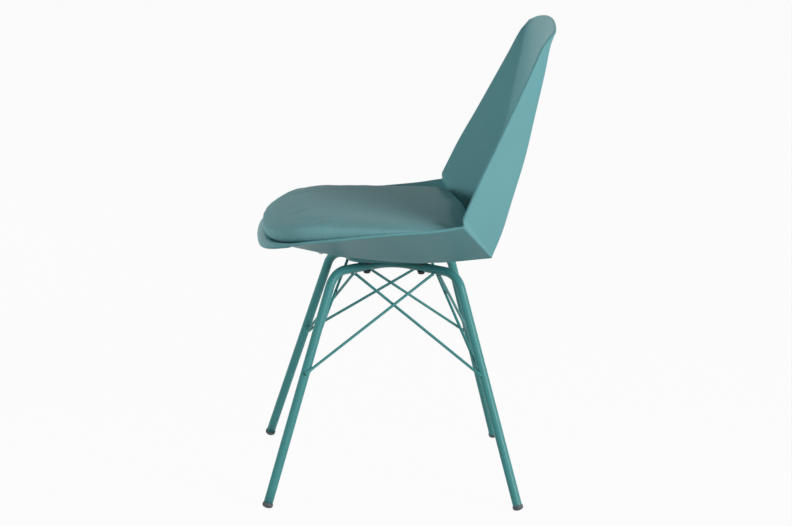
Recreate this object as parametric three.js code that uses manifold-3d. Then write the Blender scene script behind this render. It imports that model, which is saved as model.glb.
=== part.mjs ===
// A moulded shell dining chair with a seat pad, on two bent steel tubes braced by eight thin rods.
// Millimetres, +Z up. The sitter faces -Y, so +X is the sitter's left, and the feet stand on z = 0.
import * as THREE from "three";
import { mergeVertices } from "three/addons/utils/BufferGeometryUtils.js";
import Module from "manifold-3d";

const wasm = await Module();
wasm.setup();

// Driving dimensions
const fit_gap = 0.3; // between two pieces that touch
const overrun = 20; // how far a cutting body runs past what it cuts

// Shell
const shell_half_width = 240.5;
const shell_front = -240; // the lip's rear face, from the middle of the base
const shell_depth = 497;
const shell_rise = 420; // underside of the seat to the top of the back
const shell_wall = 4.5;
const fold_radius = 4.5; // outside, along the creases
const inside_radius = 24; // inside, where the same creases are rounded off
const lip_corner = 46;
const top_corner = 17;
const panel_round_share = 0.45; // the most of a panel that its crease's rounding takes
const facet_round_share = 0.6; // and of the facet

// Mounting platform moulded under the seat
const platform_half_width = 74;
const platform_half_depth = 78;
const platform_corner = 30;
const platform_wall = 3;
const platform_depth = 8.5;
const platform_setback = 6; // towards the front
const rib_thickness = 2.5;
const rib_recess = 1;
const boss_radius = 11;

// Bent tubes
const tube_radius = 8;
const bend_radius = 40;
const foot_half_width = 216.5;
const foot_half_depth = 216.6;
const rail_height = 388; // centre line of the level part
const shoulder_half_width = 90; // where the legs' lines meet the rail's
const shoulder_half_depth = 107;

// Brace rods
const rod_radius = 2.5;
const rod_anchor_depth = 72.5; // on the rail, from the middle
const rod_anchor_spacing = 14;
const rod_anchor_drop = 8; // below the rail's centre line
const rod_foot_share = 0.575; // of the way up the leg's line
const rod_foot_stagger = 7; // between the two rods that end on one leg
const rod_side_offset = 7; // of a side's pair, outwards
const rod_side_lead = 2; // towards the front, of the side rods that start there
const rod_cross_offsets = { "-1": -2, 1: -3 }; // of the front pair and the rear pair, outwards

// Foot caps
const cap_wall = 0.9;
const cap_height = 9.5;
const cap_floor = 1.6; // least thickness under the tube's end
const cap_round = 0.7;
const cap_dome = 5; // height of the domed sole, along the leg
const cap_wear = 0.8; // how much of the dome is cut level with the floor

// Bolts that hold the shell on the rails
const bolt_radius = 3;
const bolt_clearance = 0.3;
const bolt_depth = 48; // from the middle, along the chair
const bolt_head_radius = 6;
const bolt_head_height = 3;
const bolt_head_shares = [[0.6, 0], [0.87, 0.2], [1, 0.55]]; // across and up, round the head's edge
const bolt_socket_radius = 2.3;
const bolt_socket_depth = 2;
const bolt_tip_margin = 0.7;
const saddle_radius = 7;
const saddle_thickness = 1.5;
const saddle_grip = 3; // how far a saddle reaches up or down the tube's side
const spacer_radius = 10;
const spacer_thickness = 4.9;
const insert_radius = 4.2;
const insert_length = 9;
const insert_groove = 0.5;
const insert_groove_shares = [0.35, 0.42, 0.58, 0.65]; // along the insert

// Pad, its board and the board's screws
const board_thickness = 5;
const board_lift = 26; // from the shell's lowest underside
const board_width_share = 0.49; // of the shell's width
const board_front_share = 0.195; // of the shell's depth, from the lip
const board_rear_share = 0.7;
const board_corner = 40;
const screw_side_inset = 23; // from the board's edges
const screw_front_inset = 13;
const screw_rear_inset = 46;
const screw_radius = 2;
const screw_clearance = 0.3;
const screw_head_radius = 4.5;
const screw_head_height = 2.6;
const screw_head_shares = [[0.62, 0], [0.9, 0.35]]; // across and up, round the head's edge
const screw_slot = 1.1;
const screw_slot_share = 0.55; // its length, of the head's width
const screw_slot_depth = 1;
const screw_bite = 3.6; // into the board
const standoff_radius = 6.5;
const spot_drop = 2; // flat spot under each screw, below the floor
const pad_thickness = 54; // crown to board
const pad_side_fall = 5.5;
const pad_front_fall = 26;
const pad_front_start = -100;
const pad_front_power = 3.2; // how late the front falls away
const pad_gap = 1.2; // over the shell
const pad_roll_share = 0.13; // of the way in from the rim, where the top's edge rolls over
const pad_roll_power = 2.5; // 2 rolls it over in an ellipse, more makes it squarer
const pad_tuck_share = 0.035; // and where the underside is tucked in

// Worked-out levels
const tube_top = rail_height + tube_radius;
const platform_bottom = tube_top + fit_gap + spacer_thickness + fit_gap;
const shell_low = platform_bottom + platform_depth;
const board_bottom = shell_low + board_lift;
const board_top = board_bottom + board_thickness;
const board_half_width = board_width_share * shell_half_width;
const board_front = shell_front + board_front_share * shell_depth;
const board_rear = shell_front + board_rear_share * shell_depth;
const screw_half_width = board_half_width - screw_side_inset;
const screw_front = board_front + screw_front_inset;
const screw_rear = board_rear - screw_rear_inset;

// The shell's three guide lines, station by station from the front lip over the seat and up the back.
// Each row: across as a share of the half width, back as a share of the depth, up as a share of the rise.
// The last number picks the rounding of the crease there: 0 the fold, 1 the lip's corner, 2 the top's.
const lip_shares = [
  { spine: [0, -0.001, 0.06], crease: [0.611, 0.018, 0.06], rim: [0.836, 0.111, 0.096], round: 1 },
  { spine: [0, 0.007, 0.07], crease: [0.61, 0.024, 0.07], rim: [0.835, 0.113, 0.1], round: 1 },
  { spine: [0, 0.02, 0.078], crease: [0.604, 0.034, 0.079], rim: [0.834, 0.117, 0.104], round: 1 },
  { spine: [0, 0.035, 0.08], crease: [0.596, 0.044, 0.082], rim: [0.834, 0.122, 0.106], round: 1 },
];
const seat_shares = [
  { spine: [0, 0.101, 0.058], crease: [0.593, 0.109, 0.073], rim: [0.865, 0.155, 0.116], round: 0.6 },
  { spine: [0, 0.241, 0.02], crease: [0.557, 0.241, 0.043], rim: [0.931, 0.262, 0.139], round: 0.1 },
  { spine: [0, 0.422, 0.001], crease: [0.524, 0.422, 0.015], rim: [0.977, 0.422, 0.167], round: 0 },
  { spine: [0, 0.604, 0.004], crease: [0.547, 0.614, 0.012], rim: [0.998, 0.604, 0.191], round: 0 },
  { spine: [0, 0.74, 0.062], crease: [0.603, 0.806, 0.041], rim: [1, 0.686, 0.209], round: 0 },
];
const back_shares = [
  { spine: [0, 0.75, 0.076], crease: [0.602, 0.81, 0.05], rim: [0.983, 0.691, 0.243], round: 0 },
  { spine: [0, 0.803, 0.176], crease: [0.574, 0.841, 0.143], rim: [0.93, 0.746, 0.395], round: 0 },
  { spine: [0, 0.867, 0.309], crease: [0.556, 0.874, 0.286], rim: [0.859, 0.804, 0.536], round: 0 },
  { spine: [0, 0.918, 0.471], crease: [0.557, 0.91, 0.452], rim: [0.787, 0.861, 0.679], round: 0 },
  { spine: [0, 0.955, 0.657], crease: [0.582, 0.939, 0.643], rim: [0.721, 0.912, 0.809], round: 0 },
  { spine: [0, 0.978, 0.821], crease: [0.607, 0.963, 0.805], rim: [0.672, 0.95, 0.907], round: 0 },
  { spine: [0, 1, 0.943], crease: [0.609, 0.979, 0.919], rim: [0.653, 0.969, 0.936], round: 0.1 },
  { spine: [0, 1.016, 0.996], crease: [0.59, 0.996, 0.965], rim: [0.642, 0.979, 0.951], round: 1.9 },
];
const lip_rows = 2; // rows between two stations
const seat_rows = 4;
const back_rows = 3;
const panel_columns = 5;
const round_columns = 4;
const facet_columns = 4;
const soften_reach = 5; // rows on each side of the fold that are rounded off inside
const soften_passes = 12;

// The pad's widest line: across and back as above, and its height over the board as a share of the pad's
// thickness. The other half mirrors it.
const pad_line_shares = [
  [0, 0.01, 0.373],
  [0.25, 0.015, 0.368],
  [0.457, 0.03, 0.358],
  [0.624, 0.062, 0.347],
  [0.74, 0.113, 0.363],
  [0.815, 0.181, 0.425],
  [0.857, 0.262, 0.529],
  [0.886, 0.362, 0.653],
  [0.904, 0.483, 0.762],
  [0.902, 0.6, 0.83],
  [0.89, 0.652, 0.85],
  [0.852, 0.683, 0.85],
  [0.775, 0.701, 0.845],
  [0.624, 0.713, 0.84],
  [0.312, 0.728, 0.82],
  [0, 0.735, 0.81],
];
const pad_columns = 56;
const pad_top_rings = 11;
const pad_under_rings = 9;

// Colours and finishes
const finish = {
  plastic: { color: "#6f9ea3", roughness: 0.5, metalness: 0 },
  leather: { color: "#5b7f83", roughness: 0.55, metalness: 0 },
  paint: { color: "#4f9697", roughness: 0.35, metalness: 0.2 },
  rubber: { color: "#3c4144", roughness: 0.8, metalness: 0 },
  black: { color: "#26282a", roughness: 0.5, metalness: 0.3 },
  brass: { color: "#b08d4c", roughness: 0.35, metalness: 1 },
  plywood: { color: "#a98a62", roughness: 0.8, metalness: 0 },
  steel: { color: "#8c8f91", roughness: 0.35, metalness: 1 },
};

// Solids: a closed geometry becomes a body that can be joined and cut, and comes back as a geometry.
function solid(geometry) {
  const bare = geometry.clone();
  bare.deleteAttribute("normal");
  bare.deleteAttribute("uv");
  const merged = mergeVertices(bare);
  const corners = [];
  const index = merged.index.array;
  for (let i = 0; i < index.length; i += 3) {
    const [a, b, c] = [index[i], index[i + 1], index[i + 2]];
    if (a !== b && b !== c && c !== a) corners.push(a, b, c);
  }
  const vertProperties = new Float32Array(merged.attributes.position.array);
  const triVerts = new Uint32Array(corners);
  return new wasm.Manifold(new wasm.Mesh({ numProp: 3, vertProperties, triVerts }));
}

function geometryOf(body) {
  const mesh = body.getMesh();
  const geometry = new THREE.BufferGeometry();
  geometry.setAttribute("position", new THREE.BufferAttribute(mesh.vertProperties, mesh.numProp));
  geometry.setIndex(new THREE.BufferAttribute(mesh.triVerts, 1));
  geometry.computeVertexNormals();
  return geometry;
}

const lerp = (a, b, share) => a + (b - a) * share;
const lerpPoint = (a, b, share) => new THREE.Vector3().lerpVectors(a, b, share);

// A turned body on the line from a towards b: the profile lists [radius, distance from a].
function turned(a, b, profile, sides) {
  const points = profile.map(([r, d]) => new THREE.Vector2(r, d));
  const geometry = new THREE.LatheGeometry(points, sides);
  const axis = new THREE.Vector3().subVectors(b, a).normalize();
  geometry.applyQuaternion(new THREE.Quaternion().setFromUnitVectors(new THREE.Vector3(0, 1, 0), axis));
  geometry.translate(a.x, a.y, a.z);
  return solid(geometry);
}

function rod(a, b, radius, sides) {
  const length = a.distanceTo(b);
  return turned(a, b, [[0, 0], [radius, 0], [radius, length], [0, length]], sides);
}

// An upright turned body at (x, y), its profile listing [radius, height].
function upright(x, y, profile, sides) {
  const base = new THREE.Vector3(x, y, 0);
  return turned(base, new THREE.Vector3(x, y, 1), profile, sides);
}

function disc(x, y, radius, low, high, sides) {
  return upright(x, y, [[0, low], [radius, low], [radius, high], [0, high]], sides);
}

function prism(shape, low, high, steps) {
  const geometry = new THREE.ExtrudeGeometry(shape, {
    depth: high - low,
    bevelEnabled: false,
    curveSegments: steps,
  });
  geometry.translate(0, 0, low);
  return solid(geometry);
}

function roundedRectangle(half_width, front, rear, radius) {
  const shape = new THREE.Shape();
  shape.moveTo(half_width - radius, front);
  shape.absarc(half_width - radius, front + radius, radius, -Math.PI / 2, 0);
  shape.absarc(half_width - radius, rear - radius, radius, 0, Math.PI / 2);
  shape.absarc(radius - half_width, rear - radius, radius, Math.PI / 2, Math.PI);
  shape.absarc(radius - half_width, front + radius, radius, Math.PI, Math.PI * 1.5);
  shape.closePath();
  return shape;
}

// Shell: the guide lines give, at each station, the middle of the panel, its crease and the free rim.
// Between middle and crease the section is a shallow parabola, and from crease to rim it is straight.
function shellPoint([across, back, up]) {
  return new THREE.Vector3(
    across * shell_half_width,
    shell_front + back * shell_depth,
    shell_low + up * shell_rise,
  );
}

// Points along a guide, with the given number of rows between stations, first station included.
function guide(stations, name, rows) {
  const curve = new THREE.CatmullRomCurve3(stations.map((s) => shellPoint(s[name])));
  const count = (stations.length - 1) * rows;
  return Array.from({ length: count + 1 }, (_, i) => curve.getPoint(i / count));
}

function roundings(stations, rows) {
  const count = (stations.length - 1) * rows;
  return Array.from({ length: count + 1 }, (_, i) => {
    const at = Math.min(Math.floor(i / rows), stations.length - 2);
    return lerp(stations[at].round, stations[at + 1].round, i / rows - at);
  });
}

function lipAndSeatRows(name) {
  const lip = guide(lip_shares, name, lip_rows);
  const seat = guide([lip_shares[lip_shares.length - 1], ...seat_shares], name, seat_rows);
  return [...lip, ...seat.slice(1)];
}

const fold_row = (lip_shares.length - 1) * lip_rows + seat_shares.length * seat_rows;
const spine = [...lipAndSeatRows("spine"), ...guide(back_shares, "spine", back_rows)];
const crease = [...lipAndSeatRows("crease"), ...guide(back_shares, "crease", back_rows)];
const rim = [...lipAndSeatRows("rim"), ...guide(back_shares, "rim", back_rows)];
const rounding = [
  ...roundings(lip_shares, lip_rows),
  ...roundings([lip_shares[lip_shares.length - 1], ...seat_shares], seat_rows).slice(1),
  ...roundings(back_shares, back_rows),
];

// The distance from the crease at which a section starts to round, for a given smallest rounding.
function roundingAt(row, smallest) {
  const pick = rounding[row];
  const length = pick > 1 ? lerp(lip_corner, top_corner, pick - 1) : pick * lip_corner;
  const back = row > fold_row && pick > 0 ? (pick / 2) * top_corner : length;
  return Math.max(smallest, row > fold_row ? back : length);
}

// One section, from the middle to the rim on the +X side.
function section(row, middle, corner, edge, smallest) {
  const radius = roundingAt(row, smallest);
  const panel = (share) =>
    new THREE.Vector3(
      corner.x * share,
      lerp(middle.y, corner.y, share ** 2),
      lerp(middle.z, corner.z, share ** 2),
    );
  const before = 1 - Math.min(panel_round_share, radius / middle.distanceTo(corner));
  const after = Math.min(facet_round_share, radius / corner.distanceTo(edge));
  const from = panel(before);
  const to = lerpPoint(corner, edge, after);
  const bend = new THREE.QuadraticBezierCurve3(from, corner, to);
  const points = [];
  for (let i = 0; i < panel_columns; i++) points.push(panel((before * i) / panel_columns));
  for (let i = 0; i < round_columns; i++) points.push(bend.getPoint(i / round_columns));
  for (let i = 0; i <= facet_columns; i++) points.push(lerpPoint(to, edge, i / facet_columns));
  return points;
}

// A whole sheet of points, mirrored about the middle, row by row from the lip to the top.
function sheet(corners, smallest) {
  return spine.map((middle, row) => {
    const half = section(row, middle, corners[row], rim[row], smallest);
    const other = half.slice(1).reverse().map((p) => new THREE.Vector3(-p.x, p.y, p.z));
    return [...other, ...half];
  });
}

// Inside, the crease's turn at the fold between seat and back is rounded off by averaging.
function softened(line) {
  let points = line.map((p) => p.clone());
  for (let pass = 0; pass < soften_passes; pass++) {
    points = points.map((p, i) => {
      if (Math.abs(i - fold_row) > soften_reach) return p;
      return new THREE.Vector3().addVectors(points[i - 1], points[i + 1]).add(p).add(p).divideScalar(4);
    });
  }
  return points;
}

// The sheet's normals towards the sitter, averaged over their neighbours.
function normalsOf(points) {
  const rows = points.length;
  const columns = points[0].length;
  const last = rows - 2; // the top edge takes the normals of the row before it
  const raw = points.map((_, row) =>
    points[0].map((_, column) => {
      const i = Math.min(row, last);
      const along = points[Math.min(i + 1, last)][column].clone().sub(points[Math.max(i - 1, 0)][column]);
      const right = points[i][Math.min(column + 1, columns - 1)];
      const left = points[i][Math.max(column - 1, 0)];
      return new THREE.Vector3().crossVectors(right.clone().sub(left), along).normalize();
    }),
  );
  return raw.map((line, row) =>
    line.map((_, column) => {
      const sum = new THREE.Vector3();
      for (const i of [row - 1, row, row + 1])
        for (const j of [column - 1, column, column + 1]) if (raw[i] && raw[i][j]) sum.add(raw[i][j]);
      return sum.normalize();
    }),
  );
}

// A closed wall between two sheets of equal size: `under` faces away from the sitter, `over` faces them.
function wallBetween(under, over) {
  const rows = under.length;
  const columns = under[0].length;
  const positions = [...under.flat(), ...over.flat()].flatMap((p) => [p.x, p.y, p.z]);
  const low = (row, column) => row * columns + column;
  const high = (row, column) => rows * columns + low(row, column);
  const index = [];
  const quad = (a, b, c, d) => index.push(a, b, c, a, c, d);
  for (let i = 0; i + 1 < rows; i++) {
    for (let j = 0; j + 1 < columns; j++) {
      quad(low(i, j), low(i + 1, j), low(i + 1, j + 1), low(i, j + 1));
      quad(high(i, j), high(i, j + 1), high(i + 1, j + 1), high(i + 1, j));
    }
    quad(low(i, 0), high(i, 0), high(i + 1, 0), low(i + 1, 0));
    quad(low(i, columns - 1), low(i + 1, columns - 1), high(i + 1, columns - 1), high(i, columns - 1));
  }
  for (let j = 0; j + 1 < columns; j++) {
    quad(low(0, j), low(0, j + 1), high(0, j + 1), high(0, j));
    quad(low(rows - 1, j), high(rows - 1, j), high(rows - 1, j + 1), low(rows - 1, j + 1));
  }
  const geometry = new THREE.BufferGeometry();
  geometry.setAttribute("position", new THREE.Float32BufferAttribute(positions, 3));
  geometry.setIndex(index);
  return geometry;
}

const outside = sheet(crease, fold_radius);
const smooth = sheet(softened(crease), inside_radius);
const smooth_normals = normalsOf(smooth);
const inside = smooth.map((line, row) =>
  line.map((p, column) => p.clone().addScaledVector(smooth_normals[row][column], shell_wall)),
);

// Height of the shell's upper face over a point of the seat, found in the sheet's triangles.
const edge_share = 1e-6; // a point on a triangle's edge counts as inside
const seat_triangles = [];
for (let i = 0; i < fold_row + back_rows; i++)
  for (let j = 0; j + 1 < inside[0].length; j++) {
    const [a, b, c, d] = [inside[i][j], inside[i][j + 1], inside[i + 1][j + 1], inside[i + 1][j]];
    seat_triangles.push([a, b, c], [a, c, d]);
  }

function seatHeight(x, y) {
  let height = -Infinity;
  for (const [a, b, c] of seat_triangles) {
    const area = (b.x - a.x) * (c.y - a.y) - (c.x - a.x) * (b.y - a.y);
    const s = ((x - a.x) * (c.y - a.y) - (c.x - a.x) * (y - a.y)) / area;
    const t = ((b.x - a.x) * (y - a.y) - (x - a.x) * (b.y - a.y)) / area;
    const within = s > -edge_share && t > -edge_share && s + t < 1 + edge_share;
    if (within) height = Math.max(height, lerp(a.z, b.z, s) + t * (c.z - a.z));
  }
  return height;
}

// Bolt and screw places, worked out from the rail's line and the board.
const signs = [-1, 1];
const apex_x = tube_radius + fit_gap / 2;
const apex_centre = new THREE.Vector2(apex_x + bend_radius, 0);

// The rail's straight part leaves the apex bend on the tangent that passes through the shoulder, and
// would meet the middle plane at rail_middle_x.
const shoulder_offset = new THREE.Vector2(shoulder_half_width, shoulder_half_depth).sub(apex_centre);
const shoulder_angle = Math.atan2(shoulder_offset.y, shoulder_offset.x);
const tangent_angle = shoulder_angle + Math.acos(bend_radius / shoulder_offset.length());
const rail_middle_x = apex_centre.x + bend_radius / Math.cos(tangent_angle);
const railX = (depth) => lerp(rail_middle_x, shoulder_half_width, depth / shoulder_half_depth);
const bolt_places = signs.flatMap((sx) => signs.map((sy) => [sx * railX(bolt_depth), sy * bolt_depth]));
const screw_places = signs.flatMap((sx) => [screw_front, screw_rear].map((y) => [sx * screw_half_width, y]));

// Tubes: a path of straight runs and bends, with a station at each end of a run and along each bend.
class BentPath extends THREE.Curve {
  constructor(corners, radius, steps) {
    super();
    this.stations = [corners[0]];
    for (let i = 1; i + 1 < corners.length; i++) {
      const into = new THREE.Vector3().subVectors(corners[i], corners[i - 1]).normalize();
      const away = new THREE.Vector3().subVectors(corners[i + 1], corners[i]).normalize();
      const half_turn = into.angleTo(away) / 2;
      const inward = new THREE.Vector3().subVectors(away, into).normalize();
      const centre = corners[i].clone().addScaledVector(inward, radius / Math.cos(half_turn));
      const side = inward.clone().negate();
      const forward = new THREE.Vector3().addVectors(into, away).normalize();
      for (let k = 0; k <= steps; k++) {
        const angle = lerp(-half_turn, half_turn, k / steps);
        const point = centre.clone().addScaledVector(side, radius * Math.cos(angle));
        this.stations.push(point.addScaledVector(forward, radius * Math.sin(angle)));
      }
    }
    this.stations.push(corners[corners.length - 1]);
    this.pieces = this.stations.length - 1;
  }
  getPoint(share) {
    const at = Math.min(share * this.pieces, this.pieces);
    const i = Math.min(Math.floor(at), this.pieces - 1);
    return lerpPoint(this.stations[i], this.stations[i + 1], at - i);
  }
  getPointAt(share) {
    return this.getPoint(share);
  }
  getTangentAt(share) {
    const i = Math.round(share * this.pieces);
    const before = this.stations[Math.max(i - 1, 0)];
    const here = this.stations[i];
    const after = this.stations[Math.min(i + 1, this.pieces)];
    const into = new THREE.Vector3().subVectors(here, before).normalize();
    const away = new THREE.Vector3().subVectors(after, here).normalize();
    return new THREE.Vector3().addVectors(into, away).normalize();
  }
}

const foot = (sx, sy) => new THREE.Vector3(sx * foot_half_width, sy * foot_half_depth, 0);
const shoulder = (sx, sy) =>
  new THREE.Vector3(sx * shoulder_half_width, sy * shoulder_half_depth, rail_height);
const leg_slope = foot(1, 1).distanceTo(shoulder(1, 1)) / rail_height; // length for each unit of height
const leg_lean = Math.acos(1 / leg_slope);
const tube_end_height = cap_floor + tube_radius * Math.sin(leg_lean);
const tube_end_share = tube_end_height / rail_height;
const onLeg = (sx, sy, share) => lerpPoint(foot(sx, sy), shoulder(sx, sy), share);
const tube_sides = 12;
const bend_steps = 7;

function tubeSolid(sx, radius, end_share) {
  const path = new BentPath(
    [
      onLeg(sx, -1, end_share),
      shoulder(sx, -1),
      new THREE.Vector3(sx * rail_middle_x, 0, rail_height),
      shoulder(sx, 1),
      onLeg(sx, 1, end_share),
    ],
    bend_radius,
    bend_steps,
  );
  const ring = new THREE.Shape().absarc(0, 0, radius, 0, Math.PI * 2);
  const geometry = new THREE.ExtrudeGeometry(ring, {
    steps: path.pieces,
    bevelEnabled: false,
    extrudePath: path,
    curveSegments: tube_sides / 2,
  });
  return solid(geometry);
}

// The grown tubes cut the saddles and rod ends, so that each keeps the fit gap.
const circle_growth = 1 / Math.cos(Math.PI / tube_sides);
const grown = signs.map((sx) => tubeSolid(sx, (tube_radius + fit_gap) * circle_growth, tube_end_share));
const bolt_bore = bolt_radius + bolt_clearance;
const bore_sides = 14;

function frameTube(side) {
  const sx = signs[side];
  let body = tubeSolid(sx, tube_radius, tube_end_share);
  for (const [x, y] of bolt_places.filter(([px]) => Math.sign(px) === sx)) {
    body = body.subtract(disc(x, y, bolt_bore, rail_height - overrun, rail_height + overrun, bore_sides));
  }
  return body;
}

const rod_lean = shoulder_half_depth / Math.hypot(shoulder_half_depth, shoulder_half_width - rail_middle_x);
const rod_sides = 12;

// Rods run from a point under one end of a rail to the middle of the next leg round the base. Those that
// start at two opposite corners lie inside the others, so that each pair crosses without touching.
function braceRod([sx, sy], [tx, ty]) {
  const along_side = sx === tx;
  const anchor_depth = rod_anchor_depth + (along_side ? -0.5 : 0.5) * rod_anchor_spacing * rod_lean;
  const level = rail_height - rod_anchor_drop;
  const shift = along_side
    ? new THREE.Vector3(sx * rod_side_offset, sy < 0 ? -rod_side_lead : 0, 0)
    : new THREE.Vector3(0, sy * rod_cross_offsets[sy], 0);
  const start = new THREE.Vector3(sx * railX(anchor_depth), sy * anchor_depth, level).add(shift);
  const stagger = (along_side ? -0.5 : 0.5) * (rod_foot_stagger / foot(1, 1).distanceTo(shoulder(1, 1)));
  const end = onLeg(tx, ty, rod_foot_share + stagger).add(shift);
  const partner = onLeg(sx, sy, rod_foot_share + stagger).add(shift);
  const normal = new THREE.Vector3()
    .crossVectors(new THREE.Vector3().subVectors(end, start), new THREE.Vector3().subVectors(partner, start))
    .normalize();
  const outward = Math.sign(normal.dot(new THREE.Vector3(along_side ? sx : 0, along_side ? 0 : sy, 0)));
  const inner = sx * sy;
  normal.multiplyScalar(outward * inner * (rod_radius + fit_gap / 2));
  let body = rod(start.add(normal), end.add(normal), rod_radius, rod_sides);
  for (const tube of grown) body = body.subtract(tube);
  const pieces = body.decompose().sort((a, b) => b.volume() - a.volume());
  return pieces[0];
}

const dome_steps = 5;

// Foot cap: a sleeve round the tube's end, with a domed sole cut level with the floor.
function footCap(sx, sy) {
  const low = onLeg(sx, sy, 0);
  const high = onLeg(sx, sy, 1);
  const bore = tube_radius + fit_gap;
  const outer = bore + cap_wall;
  const rounded = [0, 1, 2, 3].map((k) => {
    const angle = (k / 3) * (Math.PI / 2);
    return [outer - cap_round * (1 - Math.sin(angle)), cap_height - cap_round * (1 - Math.cos(angle))];
  });
  const reach = Math.hypot(cap_dome * Math.cos(leg_lean), outer * Math.sin(leg_lean));
  const dome_top = (reach - cap_wear) / Math.cos(leg_lean);
  const dome = Array.from({ length: dome_steps + 1 }, (_, k) => {
    const angle = (k / dome_steps) * (Math.PI / 2);
    return [outer * Math.sin(angle), dome_top - cap_dome * Math.cos(angle)];
  });
  const sleeve = [...dome, ...rounded.reverse(), [0, cap_height]];
  const inner_start = tube_end_height * leg_slope - fit_gap;
  const hollow = [[0, inner_start], [bore * circle_growth, inner_start]];
  hollow.push([bore * circle_growth, cap_height + overrun], [0, cap_height + overrun]);
  const ground = disc(low.x, low.y, outer + overrun, -overrun * 2, 0, tube_sides);
  const sides = 18;
  return turned(low, high, sleeve, sides).subtract(turned(low, high, hollow, sides)).subtract(ground);
}

// Platform under the seat: a skirt, four bosses for the bolts' inserts, and ribs between them.
function platform() {
  const front = -platform_half_depth - platform_setback;
  const rear = platform_half_depth - platform_setback;
  const top = shell_low + platform_depth + board_lift;
  const outer = roundedRectangle(platform_half_width, front, rear, platform_corner);
  const inner = roundedRectangle(
    platform_half_width - platform_wall,
    front + platform_wall,
    rear - platform_wall,
    platform_corner - platform_wall,
  );
  let body = prism(outer, platform_bottom, top, 6).subtract(
    prism(inner, platform_bottom - overrun, top + overrun, 6),
  );
  const rib_bottom = platform_bottom + rib_recess;
  const rib = (half_width, half_depth, x, y) => {
    const box = new THREE.BoxGeometry(half_width * 2, half_depth * 2, top - rib_bottom);
    box.translate(x, y, (top + rib_bottom) / 2);
    return solid(box);
  };
  const middle_y = (front + rear) / 2;
  for (const s of signs) {
    const reach_x = platform_half_width - platform_wall / 2;
    const reach_y = (rear - front) / 2 - platform_wall / 2;
    body = body.add(rib(reach_x, rib_thickness / 2, 0, s * bolt_depth));
    body = body.add(rib(rib_thickness / 2, reach_y, s * railX(bolt_depth), middle_y));
  }
  for (const [x, y] of bolt_places) body = body.add(disc(x, y, boss_radius, platform_bottom, top, 24));
  const half_wall = shell_wall / 2;
  const lowered = inside.slice(0, fold_row).map((line) =>
    line.map((p) => new THREE.Vector3(p.x, p.y, p.z - half_wall)),
  );
  const lifted = lowered.map((line) => line.map((p) => new THREE.Vector3(p.x, p.y, top + overrun)));
  return body.subtract(solid(wallBetween(lowered, lifted)));
}

// Where the pad's board is screwed on, the floor has a standoff above and a flat spot below.
function screwSeat(x, y) {
  const floor = seatHeight(x, y);
  const low = floor - shell_wall - spot_drop;
  return disc(x, y, standoff_radius, low, board_bottom - fit_gap, 20);
}

function seatShell() {
  let body = solid(wallBetween(outside, inside)).add(platform());
  for (const [x, y] of screw_places) {
    const through = disc(x, y, screw_radius + screw_clearance, 0, board_bottom + overrun, bore_sides);
    body = body.add(screwSeat(x, y)).subtract(through);
  }
  const bore_top = platform_bottom + fit_gap + insert_length + fit_gap;
  const bore_bottom = platform_bottom - overrun;
  for (const [x, y] of bolt_places) {
    body = body.subtract(disc(x, y, insert_radius + fit_gap, bore_bottom, bore_top, bore_sides));
  }
  return body;
}

// Fasteners
function threadedInsert(x, y) {
  const low = platform_bottom + fit_gap;
  const high = low + insert_length;
  const waist = insert_radius - insert_groove;
  const [a, b, c, d] = insert_groove_shares.map((share) => lerp(low, high, share));
  const profile = [
    [bolt_bore, low],
    [insert_radius, low],
    [insert_radius, a],
    [waist, b],
    [waist, c],
    [insert_radius, d],
    [insert_radius, high],
    [bolt_bore, high],
    [bolt_bore, low],
  ];
  return upright(x, y, profile, bore_sides);
}

function bolt(x, y) {
  const seat = rail_height - tube_radius - fit_gap - saddle_thickness - fit_gap;
  const bottom = seat - bolt_head_height;
  const tip = platform_bottom + insert_length - bolt_tip_margin;
  const profile = [
    [0, bottom + bolt_socket_depth],
    [bolt_socket_radius, bottom + bolt_socket_depth],
    [bolt_socket_radius, bottom],
    ...bolt_head_shares.map(([across, up]) => [bolt_head_radius * across, lerp(bottom, seat, up)]),
    [bolt_head_radius, seat],
    [bolt_radius, seat],
    [bolt_radius, tip - bolt_tip_margin],
    [bolt_radius - bolt_tip_margin, tip],
    [0, tip],
  ];
  return upright(x, y, profile, bore_sides);
}

function ringBetween(x, y, radius, low, high, sides) {
  const body = disc(x, y, radius, low, high, sides);
  return body.subtract(disc(x, y, bolt_bore, low - overrun, high + overrun, sides));
}

function saddleWasher(x, y) {
  const low = rail_height - tube_radius - fit_gap - saddle_thickness;
  const body = ringBetween(x, y, saddle_radius, low, low + saddle_grip, bore_sides);
  return body.subtract(grown[x > 0 ? 1 : 0]);
}

function spacer(x, y) {
  const high = platform_bottom - fit_gap;
  const low = high - spacer_thickness - saddle_grip;
  const body = ringBetween(x, y, spacer_radius, low, high, bore_sides);
  return body.subtract(grown[x > 0 ? 1 : 0]);
}

function padScrew(x, y) {
  const seat = seatHeight(x, y) - shell_wall - spot_drop - fit_gap;
  const bottom = seat - screw_head_height;
  const tip = board_bottom + screw_bite;
  const profile = [
    [0, bottom],
    ...screw_head_shares.map(([across, up]) => [screw_head_radius * across, lerp(bottom, seat, up)]),
    [screw_head_radius, seat],
    [screw_radius, seat],
    [screw_radius, tip - screw_radius],
    [screw_radius / 2, tip],
    [0, tip],
  ];
  let body = upright(x, y, profile, bore_sides);
  for (const turn of [0, Math.PI / 2]) {
    const slot_length = screw_head_radius * 2 * screw_slot_share;
    const slot = new THREE.BoxGeometry(slot_length, screw_slot, screw_slot_depth * 2);
    slot.rotateZ(turn);
    slot.translate(x, y, bottom);
    body = body.subtract(solid(slot));
  }
  return body;
}

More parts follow.
